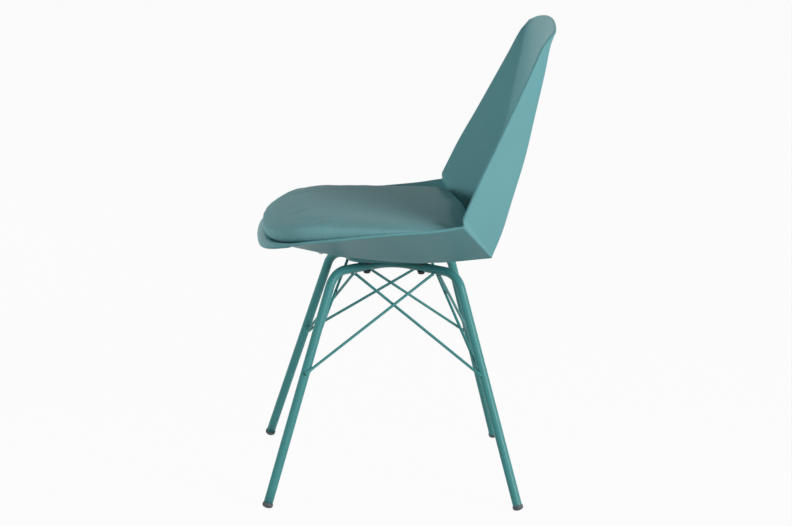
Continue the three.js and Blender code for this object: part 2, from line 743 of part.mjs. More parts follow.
// Pad and board
function padBoard() {
  let body = prism(
    roundedRectangle(board_half_width, board_front, board_rear, board_corner),
    board_bottom,
    board_top,
    5,
  );
  const pilot = screw_radius + screw_clearance;
  const pilot_top = board_bottom + screw_bite + screw_clearance;
  for (const [x, y] of screw_places) {
    body = body.subtract(disc(x, y, pilot, board_bottom - overrun, pilot_top, bore_sides));
  }
  return body;
}

// The pad is a crowned cushion: rings drawn in from its widest line, over the top and under to the board.
function seatPad() {
  const right = pad_line_shares.map(([across, back, lift]) => {
    const p = shellPoint([across, back, 0]);
    p.z = Math.max(board_top + lift * pad_thickness, seatHeight(p.x, p.y) + pad_gap);
    return p;
  });
  const left = right.slice(1, -1).reverse().map((p) => new THREE.Vector3(-p.x, p.y, p.z));
  const line = new THREE.CatmullRomCurve3([...right, ...left], true);
  const edge = Array.from({ length: pad_columns }, (_, i) => line.getPointAt(i / pad_columns));
  const middle = new THREE.Vector3(0, lerp(board_front, board_rear, 0.5), 0);
  const crown = board_top + fit_gap + pad_thickness;
  const top = (x, y) => {
    const ahead = Math.max(0, (pad_front_start - y) / (pad_front_start - edge[0].y));
    return crown - pad_side_fall * (x / shell_half_width) ** 2 - pad_front_fall * ahead ** pad_front_power;
  };
  const floor = (x, y) => Math.max(board_top + fit_gap, seatHeight(x, y) + pad_gap);
  const over = (p, inward) => {
    const x = lerp(p.x, middle.x, inward);
    const y = lerp(p.y, middle.y, inward);
    const roll = Math.min(1, inward / pad_roll_share);
    const swell = (1 - (1 - roll) ** pad_roll_power) ** (1 / pad_roll_power);
    return new THREE.Vector3(x, y, lerp(p.z, Math.max(p.z, top(x, y)), swell));
  };
  const under = (p, inward) => {
    const x = lerp(p.x, middle.x, inward);
    const y = lerp(p.y, middle.y, inward);
    const tuck = Math.min(1, inward / pad_tuck_share);
    return new THREE.Vector3(x, y, lerp(p.z, Math.min(p.z, floor(x, y)), Math.sqrt(tuck)));
  };
  const rings = [];
  for (let k = pad_under_rings; k > 0; k--) {
    rings.push(edge.map((p) => under(p, ringShare(k, pad_under_rings))));
  }
  for (let k = 0; k <= pad_top_rings; k++) {
    rings.push(edge.map((p) => over(p, ringShare(k, pad_top_rings))));
  }
  return ringBody(rings, under(edge[0], 1), over(edge[0], 1));
}

// Rings lie close together near the edge and wide apart in the middle.
const ringShare = (k, count) => (k / (count + 1)) ** 1.9;

function ringBody(rings, bottom, top) {
  const columns = rings[0].length;
  const positions = [...rings.flat(), bottom, top].flatMap((p) => [p.x, p.y, p.z]);
  const at = (ring, column) => ring * columns + (column % columns);
  const bottom_index = rings.length * columns;
  const last = rings.length - 1;
  const index = [];
  for (let j = 0; j < columns; j++) {
    index.push(bottom_index, at(0, j + 1), at(0, j));
    index.push(bottom_index + 1, at(last, j), at(last, j + 1));
    for (let i = 0; i < last; i++) {
      index.push(at(i, j), at(i, j + 1), at(i + 1, j + 1), at(i, j), at(i + 1, j + 1), at(i + 1, j));
    }
  }
  const geometry = new THREE.BufferGeometry();
  geometry.setAttribute("position", new THREE.Float32BufferAttribute(positions, 3));
  geometry.setIndex(index);
  return solid(geometry);
}

// Assembly
const chair = new THREE.Group();

function addPiece(name, body, look) {
  const mesh = new THREE.Mesh(geometryOf(body), new THREE.MeshStandardMaterial(finish[look]));
  mesh.name = name;
  chair.add(mesh);
}

const side_name = { "-1": "right", 1: "left" };
const end_name = { "-1": "front", 1: "rear" };

addPiece("seat_shell", seatShell(), "plastic");
addPiece("pad_board", padBoard(), "plywood");
addPiece("seat_pad", seatPad(), "leather");
signs.forEach((sx, side) => addPiece(`${side_name[sx]}_frame_tube`, frameTube(side), "paint"));
for (const sx of signs) {
  for (const sy of signs) {
    const corner = `${end_name[sy]}_${side_name[sx]}`;
    addPiece(`side_brace_rod_${corner}`, braceRod([sx, sy], [sx, -sy]), "paint");
    addPiece(`cross_brace_rod_${corner}`, braceRod([sx, sy], [-sx, sy]), "paint");
    addPiece(`foot_cap_${corner}`, footCap(sx, sy), "rubber");
  }
}
const corner_of = (x, y) => `${end_name[Math.sign(y)]}_${side_name[Math.sign(x)]}`;
for (const [x, y] of bolt_places) {
  addPiece(`frame_bolt_${corner_of(x, y)}`, bolt(x, y), "black");
  addPiece(`saddle_washer_${corner_of(x, y)}`, saddleWasher(x, y), "black");
  addPiece(`rail_spacer_${corner_of(x, y)}`, spacer(x, y), "black");
  addPiece(`threaded_insert_${corner_of(x, y)}`, threadedInsert(x, y), "brass");
}
for (const [x, y] of screw_places) addPiece(`pad_screw_${corner_of(x, y)}`, padScrew(x, y), "steel");

// The origin is under the middle of the whole chair.
const box = new THREE.Box3().setFromObject(chair);
chair.position.set(-(box.min.x + box.max.x) / 2, -(box.min.y + box.max.y) / 2, -box.min.z);

export default chair;
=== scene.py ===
# %% [markdown]
# # A moulded shell chair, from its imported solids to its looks
# The chair is one folded-looking plastic shell with a leather-look pad, on two bent steel tubes that
# eight thin rods brace.  Its solids were made in CAD and come in as a fixed frame.  Here each visible
# piece is drawn again as a smooth surface in the same place, and gets its finish.  Lengths are metres,
# +Z is up, and the sitter faces -Y, so +X is the sitter's left.

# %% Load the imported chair
import math

import bpy
import bmesh
import numpy as np
from mathutils import Matrix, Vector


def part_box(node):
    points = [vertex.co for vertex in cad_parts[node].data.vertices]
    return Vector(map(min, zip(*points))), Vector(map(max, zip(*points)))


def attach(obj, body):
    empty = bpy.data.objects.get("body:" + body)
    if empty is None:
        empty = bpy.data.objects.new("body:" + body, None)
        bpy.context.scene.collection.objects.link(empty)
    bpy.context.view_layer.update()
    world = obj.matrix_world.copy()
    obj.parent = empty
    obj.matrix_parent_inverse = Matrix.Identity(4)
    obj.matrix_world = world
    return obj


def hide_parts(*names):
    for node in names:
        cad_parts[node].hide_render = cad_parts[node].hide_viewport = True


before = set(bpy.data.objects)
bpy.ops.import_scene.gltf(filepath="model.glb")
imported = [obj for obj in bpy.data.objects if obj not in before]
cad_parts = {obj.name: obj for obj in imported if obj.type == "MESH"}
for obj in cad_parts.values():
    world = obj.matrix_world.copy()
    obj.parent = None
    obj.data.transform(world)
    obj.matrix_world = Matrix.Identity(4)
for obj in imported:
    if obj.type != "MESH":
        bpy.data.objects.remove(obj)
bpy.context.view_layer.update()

# %% [markdown]
# ## Where the chair's main levels are
# A looks file stays right only if it hangs on the frame.  The shell's CAD box gives its half width and
# the underside of its seat, the bolts give the middle of the base, and everything else is measured from
# these.

# %% Levels and lengths
mm = 0.001
shell_low_corner, shell_high_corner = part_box("seat_shell")
wall = 4.5 * mm
platform_depth = 8.5 * mm
shell_half_width = shell_high_corner.x
middle_y = sum(corner.y for end in ("front", "rear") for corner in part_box(f"frame_bolt_{end}_left")) / 4
shell_front = middle_y - 240 * mm
shell_depth = 497 * mm
shell_rise = 420 * mm
platform_bottom = shell_low_corner.z
shell_low = platform_bottom + platform_depth
board_low_corner, board_high_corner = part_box("pad_board")
board_gap = 0.3 * mm
print("seat's underside", round(shell_low, 4), "middle of the base at y", round(middle_y, 4))

# %% [markdown]
# ## Surfaces as grids of points
# Every new piece here is a grid: rows along the piece, and columns round its section that close on
# themselves.  The first and last rows are drawn together to a point or a line, or are the same row,
# which shuts the piece.  A modelling tool would call this lofting.  Working with whole arrays keeps each
# shape a short formula.

# %% From grids to a closed mesh
welding_distance, smallest_edge = 0.002 * mm, 0.001 * mm


def quads(rows, columns):
    """Corner numbers of each cell: a point, its neighbour round the row, and the same two a row on."""
    row = np.arange(rows - 1)[:, None]
    here = np.arange(columns)[None, :]
    there = (here + 1) % columns
    a, b = row * columns + here, row * columns + there
    return np.stack([a, b, b + columns, a + columns], axis=-1).reshape(-1, 4)


def signed_volume(points, cells):
    """A sixth of the sum of p . (q x r) over the triangles, which is positive if they face outwards."""
    p, q, r, s = (points[cells[:, k]] for k in range(4))
    return (np.einsum("ij,ij", p, np.cross(q, r)) + np.einsum("ij,ij", p, np.cross(r, s))) / 6


def closed_piece(name, *grids):
    """One mesh from closed grids (rows, columns, xyz), each turned to face outwards, seams welded."""
    points, cells, start = [], [], 0
    for grid in grids:
        flat = grid.reshape(-1, 3)
        faces = quads(*grid.shape[:2])
        faces = faces if signed_volume(flat, faces) > 0 else faces[:, ::-1]
        points.append(flat)
        cells.append(faces + start)
        start += len(flat)
    points, cells = np.concatenate(points), np.concatenate(cells)
    mesh = bpy.data.meshes.new(name)
    mesh.vertices.add(len(points))
    mesh.vertices.foreach_set("co", points.astype(np.float32).ravel())
    mesh.loops.add(cells.size)
    mesh.loops.foreach_set("vertex_index", cells.astype(np.int32).ravel())
    mesh.polygons.add(len(cells))
    mesh.polygons.foreach_set("loop_start", np.arange(0, cells.size, 4, dtype=np.int32))
    mesh.polygons.foreach_set("use_smooth", np.ones(len(cells), bool))
    mesh.update(calc_edges=True)
    work = bmesh.new()
    work.from_mesh(mesh)
    bmesh.ops.remove_doubles(work, verts=work.verts, dist=welding_distance)
    bmesh.ops.dissolve_degenerate(work, edges=work.edges, dist=smallest_edge)
    work.to_mesh(mesh)
    work.free()
    piece = bpy.data.objects.new(name, mesh)
    bpy.context.scene.collection.objects.link(piece)
    return piece


def settle(piece, finish, slot, *nodes):
    """Gives a piece its finish, ties it to the body, and lets it stand for CAD nodes; `slot` is not used."""
    piece.data.materials.clear()
    piece.data.materials.append(finish)
    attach(piece, "root")
    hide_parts(*nodes)
    print(piece.name, len(piece.data.polygons), "faces, stands for", len(nodes))


# %% [markdown]
# ## The photographer's place
# The camera was worked out from the chair's own edges: about three and a half metres off to the
# sitter's left, 1.1 metres above the floor, looking down twelve degrees through a long lens.  A long
# lens keeps the far legs nearly as large as the near ones.

# %% Camera
def camera_at(place, yaw, pitch, roll, focal_pixels, image_width):
    """A camera turned by yaw, pitch and roll from looking along -X.  Its lens is the focal length in
    pixels over the picture's width, times Blender's 36 mm sensor."""
    ahead = np.array([math.cos(yaw), math.sin(yaw)]) * math.cos(pitch)
    forward = np.array([-ahead[0], -ahead[1], math.sin(pitch)])
    level = np.array([-math.sin(yaw), math.cos(yaw), 0])
    above = np.cross(level, forward)
    right = math.cos(roll) * level + math.sin(roll) * above
    up = math.cos(roll) * above - math.sin(roll) * level
    data = bpy.data.cameras.new("photo_camera")
    data.sensor_width = 36
    data.lens = focal_pixels / image_width * data.sensor_width
    camera = bpy.data.objects.new("photo_camera", data)
    bpy.context.scene.collection.objects.link(camera)
    world = np.eye(4)
    world[:3, 0], world[:3, 1], world[:3, 2], world[:3, 3] = right, up, -forward, place
    camera.matrix_world = Matrix(world.tolist())
    return camera


bpy.context.scene.camera = camera_at(
    (3.4431, middle_y - 0.1904, 1.1183), yaw=-0.05671, pitch=-0.20917, roll=0.02841,
    focal_pixels=1978.8, image_width=792)
print("lens", round(bpy.context.scene.camera.data.lens, 1), "mm")

# %% [markdown]
# ## Colours and nodes
# A hex colour is written for a screen, while the shader counts light, so one function turns it to
# linear values.  One more adds a node, sets it and feeds its inputs, so each material below reads as a
# short recipe.

# %% Two helpers for materials
def linear(hex_colour):
    """sRGB to linear light: a straight line near black, and a power of 2.4 above it."""
    parts = np.array([int(hex_colour[k:k + 2], 16) for k in (1, 3, 5)]) / 255
    light = np.where(parts <= 0.04045, parts / 12.92, ((parts + 0.055) / 1.055) ** 2.4)
    return (*light.tolist(), 1.0)


def add_node(tree, kind, feeds=(), **settings):
    """Adds a node, sets its own settings, and feeds inputs, by name or number, with values or outputs."""
    node = tree.nodes.new("ShaderNode" + kind)
    for key, value in settings.items():
        setattr(node, key, value)
    for key, value in dict(feeds).items():
        if isinstance(value, bpy.types.NodeSocket):
            tree.links.new(value, node.inputs[key])
        else:
            node.inputs[key].default_value = value
    return node


def new_material(name):
    """An empty material with its output, ready for a recipe."""
    material = bpy.data.materials.new(name)
    material.use_nodes = True
    material.node_tree.nodes.clear()
    return material, material.node_tree


# %% [markdown]
# ## Floor, background and light
# The photograph is a catalogue cut-out: white all round and soft light.  The floor and the world here
# glow white only for the camera, for gloss and for glass, so they add no light to a matt surface.  A
# small share of the floor is real grey paper, which takes the chair's shadow.  In the photograph the
# backs of the wings are bright and their insides dark, so the main lamp stands behind the chair on the
# camera's side.  Two weaker ones in front, all of them low, light the pad's roll and the inside of the
# back and only skim the pad's top.  A dim world fills the rest a little.

# %% Floor and world
bpy.context.scene.view_settings.view_transform = "Standard"
glow_share = 0.96
world_fill = 0.085
floor_paper, tree = new_material("white paper sweep, matt")
path = add_node(tree, "LightPath")
seen = add_node(tree, "Math", {0: path.outputs["Is Camera Ray"], 1: path.outputs["Is Glossy Ray"]},
                operation="MAXIMUM")
seen = add_node(tree, "Math", {0: seen.outputs[0], 1: path.outputs["Is Transmission Ray"]},
                operation="MAXIMUM")
share = add_node(tree, "Math", {0: seen.outputs[0], 1: glow_share}, operation="MULTIPLY")
paper = add_node(tree, "BsdfDiffuse", {"Color": linear("#b4b4b4")})
glow = add_node(tree, "Emission", {"Color": (1, 1, 1, 1), "Strength": 1.0})
mixed = add_node(tree, "MixShader", {0: share.outputs[0], 1: paper.outputs[0], 2: glow.outputs[0]})
add_node(tree, "OutputMaterial", {"Surface": mixed.outputs[0]})

floor_mesh = bpy.data.meshes.new("floor")
reach = 30.0
floor_mesh.from_pydata([(-reach, -reach, 0), (reach, -reach, 0), (reach, reach, 0), (-reach, reach, 0)],
                       [], [(0, 1, 2, 3)])
floor = bpy.data.objects.new("floor", floor_mesh)
bpy.context.scene.collection.objects.link(floor)
floor_mesh.materials.append(floor_paper)

world = bpy.data.worlds.new("studio")
bpy.context.scene.world = world
world.use_nodes = True
tree = world.node_tree
tree.nodes.clear()
path = add_node(tree, "LightPath")
seen = add_node(tree, "Math", {0: path.outputs["Is Camera Ray"], 1: path.outputs["Is Glossy Ray"]},
                operation="MAXIMUM")
seen = add_node(tree, "Math", {0: seen.outputs[0], 1: path.outputs["Is Transmission Ray"]},
                operation="MAXIMUM")
fill = add_node(tree, "Background", {"Color": (1, 1, 1, 1), "Strength": world_fill})
white = add_node(tree, "Background", {"Color": (1, 1, 1, 1), "Strength": 1.0})
mixed = add_node(tree, "MixShader", {0: seen.outputs[0], 1: fill.outputs[0], 2: white.outputs[0]})
add_node(tree, "OutputWorld", {"Surface": mixed.outputs[0]})
print("world fill", world_fill)


# %% Lamps
def soft_lamp(name, place, aim, width, height, brightness, glossy=True):
    """A rectangular lamp that faces its aim.  Its power is worked out so that a white card at the aim,
    facing it, would show `brightness`: power = brightness x (pi x distance)^2.  With `glossy` off it
    lights surfaces without showing in their gloss."""
    place, aim = np.array(place, float), np.array(aim, float)
    away = place - aim
    distance = np.linalg.norm(away)
    back = away / distance
    side = np.cross((0, 0, 1), back)
    side /= np.linalg.norm(side)
    data = bpy.data.lights.new(name, "AREA")
    data.shape, data.size, data.size_y = "RECTANGLE", width, height
    data.energy = brightness * (math.pi * distance) ** 2
    lamp = bpy.data.objects.new(name, data)
    bpy.context.scene.collection.objects.link(lamp)
    lamp.visible_glossy = glossy
    placed = np.eye(4)
    placed[:3, 0], placed[:3, 1], placed[:3, 2], placed[:3, 3] = side, np.cross(back, side), back, place
    lamp.matrix_world = Matrix(placed.tolist())
    print(name, round(data.energy), "W at", round(distance, 2), "m")


chair_middle = (0, middle_y, 0.5)
soft_lamp("rear_side_lamp", (2.55, 2.55, 1.7), chair_middle, width=2.0, height=1.6, brightness=0.85)
soft_lamp("front_lamp", (1.0, -3.6, 1.1), chair_middle, width=2.0, height=1.2, brightness=0.35,
          glossy=False)
soft_lamp("far_front_lamp", (-2.4, -2.9, 1.2), chair_middle, width=2.0, height=1.2, brightness=0.22,
          glossy=False)

# %% [markdown]
# ## The shell
# The real shell is injection-moulded polypropylene, one wall of about 4.5 mm that looks like a folded
# sheet.  Three guide lines describe it: the middle, the crease and the free rim, each running from the
# front lip over the seat and up the back.  A box model with sharp loops could make it too.  Guides are
# used because the CAD was made from nearly the same ones, so the two shapes agree.  Only the lip's two
# corners are a little rounder here.

# %% The guide lines' stations
# Each row holds middle, crease and rim: across, back and up as shares of half width, depth and rise.
lip_shares = np.array([
    [[0, -0.001, 0.06], [0.611, 0.018, 0.06], [0.818, 0.109, 0.097]],
    [[0, 0.007, 0.07], [0.61, 0.024, 0.07], [0.824, 0.114, 0.1]],
    [[0, 0.02, 0.078], [0.604, 0.034, 0.079], [0.83, 0.118, 0.103]],
    [[0, 0.035, 0.08], [0.596, 0.044, 0.082], [0.834, 0.122, 0.106]],
])
seat_shares = np.array([
    [[0, 0.101, 0.058], [0.593, 0.109, 0.073], [0.865, 0.155, 0.116]],
    [[0, 0.241, 0.02], [0.557, 0.241, 0.043], [0.931, 0.262, 0.139]],
    [[0, 0.422, 0.001], [0.524, 0.422, 0.015], [0.977, 0.422, 0.167]],
    [[0, 0.604, 0.004], [0.547, 0.614, 0.012], [0.998, 0.604, 0.191]],
    [[0, 0.74, 0.062], [0.603, 0.806, 0.041], [1, 0.686, 0.209]],
])
back_shares = np.array([
    [[0, 0.75, 0.076], [0.602, 0.81, 0.05], [0.983, 0.691, 0.243]],
    [[0, 0.803, 0.176], [0.574, 0.841, 0.143], [0.93, 0.746, 0.395]],
    [[0, 0.867, 0.309], [0.556, 0.874, 0.286], [0.859, 0.804, 0.536]],
    [[0, 0.918, 0.471], [0.557, 0.91, 0.452], [0.787, 0.861, 0.679]],
    [[0, 0.955, 0.657], [0.582, 0.939, 0.643], [0.721, 0.912, 0.809]],
    [[0, 0.978, 0.821], [0.607, 0.963, 0.805], [0.672, 0.95, 0.907]],
    [[0, 1, 0.943], [0.609, 0.979, 0.919], [0.653, 0.969, 0.936]],
    [[0, 1.016, 0.996], [0.59, 0.996, 0.965], [0.642, 0.979, 0.951]],
])
lip_rounding = 46 * mm
top_rounding = 8.5 * mm
seat_round_shares = np.array([1, 0.6, 0.1, 0, 0, 0])
back_round_shares = np.array([0, 0, 0, 0, 0, 0, 0.1, 1.9])


def on_chair(shares):
    """Turns shares (..., across, back, up) into places on the chair."""
    scale = np.array([shell_half_width, shell_depth, shell_rise])
    return shares * scale + np.array([0, shell_front, shell_low])


def through(stations, at):
    """A smooth line through stations (n, ..., 3), read at station numbers `at`.  Each stretch is a
    Hermite cubic whose end slopes come from the neighbours, with time going as the root of distance."""
    padded = np.concatenate([[2 * stations[0] - stations[1]], stations, [2 * stations[-1] - stations[-2]]])
    k = np.clip(np.floor(at).astype(int), 0, len(stations) - 2)
    p0, p1, p2, p3 = (padded[k + step] for step in range(4))
    d0, d1, d2 = (np.sqrt(np.linalg.norm(b - a, axis=-1, keepdims=True))
                  for a, b in ((p0, p1), (p1, p2), (p2, p3)))
    slope1 = ((p1 - p0) / d0 - (p2 - p0) / (d0 + d1) + (p2 - p1) / d1) * d1
    slope2 = ((p2 - p1) / d1 - (p3 - p1) / (d1 + d2) + (p3 - p2) / d2) * d1
    w = (at - k).reshape((-1,) + (1,) * (p1.ndim - 1))
    return (p1 + w * slope1 + w ** 2 * (3 * (p2 - p1) - 2 * slope1 - slope2)
            + w ** 3 * (2 * (p1 - p2) + slope1 + slope2))


# %% Rows along the guides
edge_round = 1.6 * mm
fold_steps = 6


def steps(first, last, per_station):
    """Evenly spaced station numbers, about `per_station` of them between two stations."""
    return np.linspace(first, last, max(2, round((last - first) * per_station) + 1))


lip_at = np.concatenate([[0], steps(0.32, 3, 6)])
seat_at = np.append(steps(0, 5, 12)[1:-1], [4.97, 5])
back_at = np.concatenate([[0, 0.05], steps(1 / 9, 6.93, 9), [7]])
seat_stations = np.concatenate([lip_shares[-1:], seat_shares])
lip_lines = through(on_chair(lip_shares), lip_at)
seat_lines = through(on_chair(seat_stations), seat_at)
back_lines = through(on_chair(back_shares), back_at)


def bridge(before, start, end, after, count):
    """Rows across the fold: a cubic Bezier whose handles keep the direction of the lines on each side,
    each 0.4 of the way across."""
    across = np.linalg.norm(end - start, axis=-1, keepdims=True)
    into = (start - before) / np.linalg.norm(start - before, axis=-1, keepdims=True)
    away = (after - end) / np.linalg.norm(after - end, axis=-1, keepdims=True)
    h0, h1 = start + 0.4 * across * into, end - 0.4 * across * away
    w = (np.arange(1, count) / count)[:, None, None]
    return ((1 - w) ** 3 * start + 3 * w * (1 - w) ** 2 * h0 + 3 * w ** 2 * (1 - w) * h1 + w ** 3 * end)


fold_lines = bridge(seat_lines[-2], seat_lines[-1], back_lines[0], back_lines[1], fold_steps)
guides = np.concatenate([lip_lines, seat_lines, fold_lines, back_lines])
fold_row = len(lip_lines) + len(seat_lines) + fold_steps // 2 - 1
rounding = np.concatenate([
    np.full(len(lip_lines), lip_rounding),
    np.interp(seat_at, np.arange(6), seat_round_shares) * lip_rounding,
    np.zeros(fold_steps - 1),
    np.interp(back_at, np.arange(8), back_round_shares) * top_rounding,
])
print("rows:", len(guides), "fold at row", fold_row)


# %% Sections between the guides
panel_at = np.array([0, 0.14, 0.28, 0.42, 0.56, 0.7, 0.83, 0.93, 0.98])
bend_at = np.arange(6) / 6
facet_at = np.array([0, 0.02, 0.07, 0.18, 0.32, 0.48, 0.64, 0.8, 0.91, 0.975, 1])


def mix(a, b, share):
    """A share of the way from a to b."""
    return a + (b - a) * share


def half_sections(lines, smallest):
    """From middle to rim for every row at once: a shallow parabola to the crease, a quadratic Bezier
    round it, and a straight facet, whose last two points are the edge's rounding apart.  The Bezier
    takes at most 0.45 of the panel and 0.6 of the facet, and the rounding at most 0.3 of the facet."""
    middle, corner, edge = (lines[:, None, k] for k in range(3))
    radius = np.maximum(smallest, rounding)[:, None, None]
    panel_length = np.linalg.norm(corner - middle, axis=-1, keepdims=True)
    facet_length = np.linalg.norm(edge - corner, axis=-1, keepdims=True)
    before = 1 - np.minimum(0.45, radius / panel_length)
    after = np.minimum(0.6, radius / facet_length)

    def panel(share):
        flat = corner * [1, 0, 0] * share
        return flat + mix(middle, corner, share ** 2) * [0, 1, 1]

    start, end = panel(before), mix(corner, edge, after)
    w = bend_at[:, None]
    bend = (1 - w) ** 2 * start + 2 * w * (1 - w) * corner + w ** 2 * end
    drawn_in = mix(edge, corner, np.minimum(edge_round, 0.3 * facet_length) / facet_length)
    facet = mix(end, drawn_in, facet_at[:, None])
    return np.concatenate([panel(panel_at[:, None] * before), bend, facet, edge], axis=1)


def sheet(lines, smallest):
    """The whole width, mirrored about the middle: rows from lip to top, columns from right to left."""
    half = half_sections(lines, smallest)
    return np.concatenate([half[:, :0:-1] * [-1, 1, 1], half], axis=1)


def softened(line, reach, passes):
    """Rounds a line off at the fold by repeated averaging with its neighbours, [1 2 1] / 4."""
    line = line.copy()
    first, last = fold_row - reach, fold_row + reach + 1
    for _ in range(passes):
        before, after = line[first - 1:last - 1], line[first + 1:last + 1]
        line[first:last] = (before + 2 * line[first:last] + after) / 4
    return line


def along_weights(points, width):
    """Gaussian weights between all pairs of points on lines (lines, n, 3), by distance along them."""
    run = np.cumsum(np.linalg.norm(np.diff(points, axis=1, prepend=points[:, :1]), axis=-1), axis=1)
    weights = np.exp(-((run[:, :, None] - run[:, None, :]) / width) ** 2 / 2)
    return weights / weights.sum(-1, keepdims=True)


def sheet_normals(points):
    """Unit normals towards the sitter, averaged over about 14 mm along the sheet and 8 mm across it."""
    along = np.gradient(points, axis=0)
    across = np.gradient(points, axis=1)
    normals = np.cross(across, along)
    normals /= np.linalg.norm(normals, axis=-1, keepdims=True)
    by_column = points.transpose(1, 0, 2)
    normals = np.einsum("cij,jck->ick", along_weights(by_column, 14 * mm), normals)
    normals = np.einsum("rij,rjk->rik", along_weights(points, 8 * mm), normals)
    return normals / np.linalg.norm(normals, axis=-1, keepdims=True)


outside_crease, inside_hollow = 4.5 * mm, 24 * mm
outside = sheet(guides, outside_crease)
soft_guides = guides.copy()
soft_guides[:, 1] = softened(guides[:, 1], reach=20, passes=160)
smooth = sheet(soft_guides, inside_hollow)
inside = smooth + wall * sheet_normals(smooth)
print("sheet of", outside.shape[0], "rows and", outside.shape[1], "columns")


# %% The wall between the two sheets
def quarter(count, power=3.0):
    """Steps of a rounded edge: how far the wall's half thickness has shrunk, and how far out it is, the
    cosine and the sine of an even angle, each to the power 2 / `power`."""
    angle = np.linspace(0, math.pi / 2, count + 1)[1:]
    return np.cos(angle) ** (2 / power), np.sin(angle) ** (2 / power)


def loops(under, over, count=4):
    """Each row's closed section: along the outside, round one rim, back along the inside, round the
    other.  The rims bulge on a superellipse from the drawn-in column out to the true one."""
    centre, half = (under + over) / 2, (over - under) / 2
    thin, out = quarter(count)
    thick = np.concatenate([-thin[:-1], [0], thin[-2::-1]])[:, None]
    out = np.concatenate([out[:-1], [1], out[-2::-1]])[:, None]
    left = centre[:, -2:-1] + half[:, -2:-1] * thick + (centre[:, -1:] - centre[:, -2:-1]) * out
    right = centre[:, 1:2] - half[:, 1:2] * thick + (centre[:, :1] - centre[:, 1:2]) * out
    return np.concatenate([under[:, 1:-1], left, over[:, -2:0:-1], right], axis=1)


def walled(under, over, count=4):
    """The whole wall as one grid, its first and last rows rounded and drawn together like the rims."""
    centre = (under + over) / 2
    skin, heart = loops(under, over, count), loops(centre, centre, count)
    thin, out = (part[:, None, None] for part in quarter(count))
    thin = np.append(thin[:-1], [[[0]]], axis=0)
    first = heart[1] + (skin[1] - heart[1]) * thin + (heart[0] - heart[1]) * out
    last = heart[-2] + (skin[-2] - heart[-2]) * thin + (heart[-1] - heart[-2]) * out
    return np.concatenate([first[::-1], skin[1:-1], last])


# %% [markdown]
# ### Moulded polypropylene
# The mould's cavity is spark-eroded, which leaves the plastic with a fine even grain and a satin look.
# Broad highlights stay soft, and colour is the same right through, so scratches don't show another one.
# The specular level is set below its default of 0.5, because with the full gloss the white surroundings
# grey the colour more than the photograph shows.  The steel's and the leather's are low for this too.

# %% Moulded polypropylene, satin
polypropylene, tree = new_material("polypropylene, moulded, spark-eroded satin")
where = add_node(tree, "TexCoord")
flow = add_node(tree, "TexNoise", {"Vector": where.outputs["Object"], "Scale": 1 / 0.09, "Detail": 2.0})
tint = add_node(tree, "Mix", {0: flow.outputs[0], 6: linear("#66a0a5"), 7: linear("#6ba6aa")},
                data_type="RGBA")
# The grain is 0.2 mm on a real mould, drawn at 0.9 mm so that it shows.
grain = add_node(tree, "TexNoise", {"Vector": where.outputs["Object"], "Scale": 1 / 0.0009, "Detail": 2.0})
gloss = add_node(tree, "MapRange", {0: grain.outputs[0], 3: 0.4, 4: 0.5})
bump = add_node(tree, "Bump", {"Height": grain.outputs[0], "Strength": 0.12, "Distance": 0.05 * mm})
shader = add_node(tree, "BsdfPrincipled", {
    "Base Color": tint.outputs[2], "Roughness": gloss.outputs[0], "Normal": bump.outputs[0], "IOR": 1.49,
    "Specular IOR Level": 0.22})
add_node(tree, "OutputMaterial", {"Surface": shader.outputs[0]})

# %% Shell
shell = closed_piece("moulded_shell", walled(outside, inside))
settle(shell, polypropylene, "shell_plastic", "seat_shell")

# %% [markdown]
# ## The mounting platform
# Under the seat the mould adds a low skirt with ribs and four bosses for the bolts' inserts, and a flat
# spot round each of the pad's screws.  These are short standing walls, so each is a closed outline whose
# lower edge is level and whose upper edge follows the seat's underside, a little way into the plastic.

# %% Heights of the seat's two faces
def height_over(surface):
    """A function that gives the surface's height over any x, y: planes through the five nearest grid
    points, weighted by the inverse fourth power of their distance.  Points where the surface is nearly
    upright don't count."""
    points = surface[:fold_row]
    normals = np.cross(np.gradient(points, axis=1), np.gradient(points, axis=0)).reshape(-1, 3)
    points = points.reshape(-1, 3)
    kept = normals[:, 2] > 0.05 * np.linalg.norm(normals, axis=1)
    points, normals = points[kept], normals[kept]

    def one_row(xy):
        apart = xy[:, None, :] - points[None, :, :2]
        square = (apart ** 2).sum(-1)
        near = np.argpartition(square, 5, axis=1)[:, :5]
        square = np.take_along_axis(square, near, 1)
        apart = np.take_along_axis(apart, near[:, :, None], 1)
        tilt = -(normals[near][:, :, :2] / normals[near][:, :, 2:])
        weight = 1 / (square + 1e-8) ** 2
        return ((points[near][:, :, 2] + (apart * tilt).sum(-1)) * weight).sum(-1) / weight.sum(-1)

    def height(xy):
        rows = xy.reshape(-1, xy.shape[-2], 2)
        return np.stack([one_row(row) for row in rows]).reshape(xy.shape[:-1])

    return height


under_seat = height_over(outside)
over_seat = height_over(inside)
seat_middle = np.array([[0, middle_y]])
print("wall at the middle:", np.round((over_seat(seat_middle) - under_seat(seat_middle)) / mm, 2), "mm")

# %% Places of the bolts and screws
tube_radius = 8 * mm
rail_level = 388 * mm
corners = [(sx, sy) for sx in (-1, 1) for sy in (-1, 1)]
corner_names = {(sx, sy): ("front_" if sy < 0 else "rear_") + ("right" if sx < 0 else "left")
                for sx, sy in corners}


def middle_of(node):
    """The middle of a CAD node's box, as an array."""
    low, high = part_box(node)
    return (np.array(low) + np.array(high)) / 2


bolt_places = {at: middle_of(f"frame_bolt_{corner_names[at]}") for at in corners}
screw_places = {at: middle_of(f"pad_screw_{corner_names[at]}") for at in corners}
for at in corners:
    print(corner_names[at], "bolt", np.round(bolt_places[at], 4), "screw", np.round(screw_places[at], 4))

# %% Standing walls
sink = 1.2 * mm
bevel = 0.5 * mm


